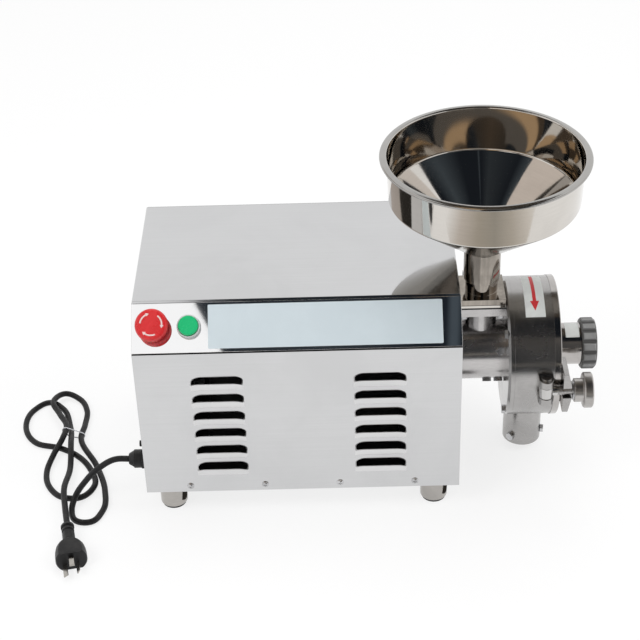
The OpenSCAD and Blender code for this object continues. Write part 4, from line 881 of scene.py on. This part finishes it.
def cloth(name, corners, shades):
    """A flat cloth that is only seen in reflections, shaded from its left end to its right."""
    mesh = bpy.data.meshes.new(name)
    mesh.from_pydata(corners, [], [range(len(corners))])
    left, far = min(p[0] for p in corners), max(p[0] for p in corners)
    weave = bpy.data.materials.new(name)
    weave.use_nodes = True
    tree = weave.node_tree
    tree.nodes.remove(tree.nodes["Principled BSDF"])
    at = wire(tree, "ShaderNodeTexCoord")
    part = wire(tree, "ShaderNodeSeparateXYZ", {0: at.outputs["Object"]})
    across = spread(tree, part.outputs["X"], from_min=left, from_max=far)
    tones = wire(tree, "ShaderNodeValToRGB", {0: across})
    while len(tones.color_ramp.elements) < len(shades):
        tones.color_ramp.elements.new(1.0)
    for e, (where, shade) in zip(tones.color_ramp.elements, shades + shades[-1:]):
        e.position, e.color = (where - left) / (far - left), (*shade, 1)
    glow = wire(tree, "ShaderNodeEmission", {"Color": tones.outputs["Color"], "Strength": 1.0})
    feed(tree, tree.nodes["Material Output"], {"Surface": glow.outputs[0]})
    mesh.materials.append(weave)
    card = stood(name, mesh)
    card.visible_camera = card.visible_diffuse = card.visible_transmission = False
    card.visible_shadow = card.visible_volume_scatter = False
    return card


def flat(x0, x1, y0, y1, z):
    """Corners of a level rectangle."""
    return [(x0, y0, z), (x1, y0, z), (x1, y1, z), (x0, y1, z)]


def hanging(x0, x1, y, z0, z1):
    """Corners of an upright rectangle that faces the mill."""
    return [(x0, y, z0), (x1, y, z0), (x1, y, z1), (x0, y, z1)]


# Heights of the cloths overhead, of those just over the table and of the screen's dark foot, and
# the place of the screen, far in front of the mill.
roof, near, hem, end = 2.5, 0.002, 0.53, -3.0


def overhead(*corners):
    """Corners of a cloth hung level over the mill."""
    return [(x, y, roof) for x, y in corners]


night, dusk, drab = (0.012, 0.015, 0.020), (0.055, 0.068, 0.080), (0.15, 0.14, 0.13)
brown, tan, rose = (0.090, 0.070, 0.052), (0.62, 0.44, 0.27), (0.71, 0.64, 0.585)
beige, umber, grey = (0.40, 0.375, 0.33), (0.045, 0.041, 0.036), (0.40, 0.375, 0.35)
chalk, sand, straw, clay = (1, 1, 1), (0.82, 0.78, 0.73), (0.56, 0.52, 0.46), (0.47, 0.43, 0.37)
slate, oat, blush = (0.03, 0.036, 0.042), (0.66, 0.61, 0.56), (0.75, 0.70, 0.66)
hung = [
    cloth("runner", flat(-0.3, 2.8, end, -0.8, near), [(-0.3, night)]),
    cloth("screen_foot", hanging(-0.3, 2.8, end, near, hem), [(-0.3, night)]),
    cloth("screen", hanging(-0.3, 2.8, end, hem, roof),
          [(-0.3, night), (0.5, night), (0.62, dusk), (0.70, drab)]),
    cloth("front_cloth", overhead((-0.28, end), (2.8, end), (2.8, -2.3), (-0.26, -2.3)),
          [(-0.3, night), (0.36, night), (0.46, drab)]),
    cloth("low_card", flat(-0.10, 0.46, -0.56, -0.24, 0.2),
          [(-0.10, chalk), (-0.02, oat), (0.08, clay), (0.18, beige), (0.28, straw), (0.38, sand),
           (0.46, chalk)]),
    cloth("dish_card", flat(0.04, 0.20, -0.28, -0.07, 0.6),
          [(0.04, brown), (0.065, brown), (0.075, tan), (0.12, tan), (0.135, drab), (0.20, drab)]),
    # These two umber cards are painted shadow: the feet mirror them as the shade under the casing.
    cloth("foot_shadow_left", flat(-0.235, -0.19, -0.125, -0.06, near), [(-0.235, umber)]),
    cloth("foot_shadow_right", flat(0.103, 0.148, -0.125, -0.06, near), [(0.103, umber)]),
    cloth("top_cloth", overhead((-0.218, -2.3), (2.8, -2.3), (2.8, 0.5), (1.1, 0.2), (1.1, -0.46),
                                (-0.3, -0.46), (-0.3, 0.3), (-1.25, 0.3), (-1.25, -1.0), (-0.697, -1.0)),
          [(-1.25, dusk), (-0.9, night), (-0.05, slate), (0.2, night), (0.272, night), (0.285, dusk),
           (0.30, dusk), (0.315, night), (0.9, night), (1.7, dusk), (2.4, night)]),
    cloth("back_cloth", flat(-0.3, 1.1, -0.46, 1.9, roof), [(-0.3, umber), (0.3, brown), (1.1, umber)]),
    cloth("corner_cloth", overhead((-1.5, end), (-0.3, end), (-0.3, -2.32), (-0.46, -2.0), (-1.5, -2.0)),
          [(-1.5, tan)]),
    cloth("far_cloth", flat(-3.4, -0.3, -4.8, end, roof),
          [(-3.4, brown), (-3.2, brown), (-3.0, tan), (-2.2, tan), (-2.0, brown)]),
    cloth("left_front_drape", overhead((-3.4, end), (-1.52, end), (-1.25, -1.0), (-3.4, -1.0)),
          [(-3.4, brown)]),
    cloth("left_drape", flat(-2.4, -1.25, -1.0, 3.3, roof), [(-2.4, rose)]),
    cloth("left_dark", flat(-3.6, -2.4, 0.75, 2.0, roof), [(-3.6, umber)]),
    cloth("left_back_drape", flat(-3.7, -2.4, 2.0, 3.3, roof), [(-3.7, umber), (-3.2, umber), (-3.0, grey)]),
    cloth("right_drape", flat(2.8, 4.4, -1.0, 2.6, roof), [(2.8, blush)])]

for name, spot, size, power in (("soft_box_left", (-1.9, -1.3, 2.3), 1.3, 25),
                                ("soft_box_right", (2.0, -0.6, 2.2), 1.3, 18),
                                ("soft_box_top", (0.2, 0.7, 2.7), 1.6, 21)):
    lamp = bpy.data.lights.new(name, "AREA")
    lamp.shape, lamp.size, lamp.energy = "SQUARE", size, power
    box = stood(name, lamp)
    box.location = spot
    box.rotation_mode = "QUATERNION"
    box.rotation_quaternion = (Vector((0, 0, 0.2)) - Vector(spot)).to_track_quat("-Z", "Y")
    box.visible_glossy = False
bpy.context.scene.view_settings.view_transform = "Standard"
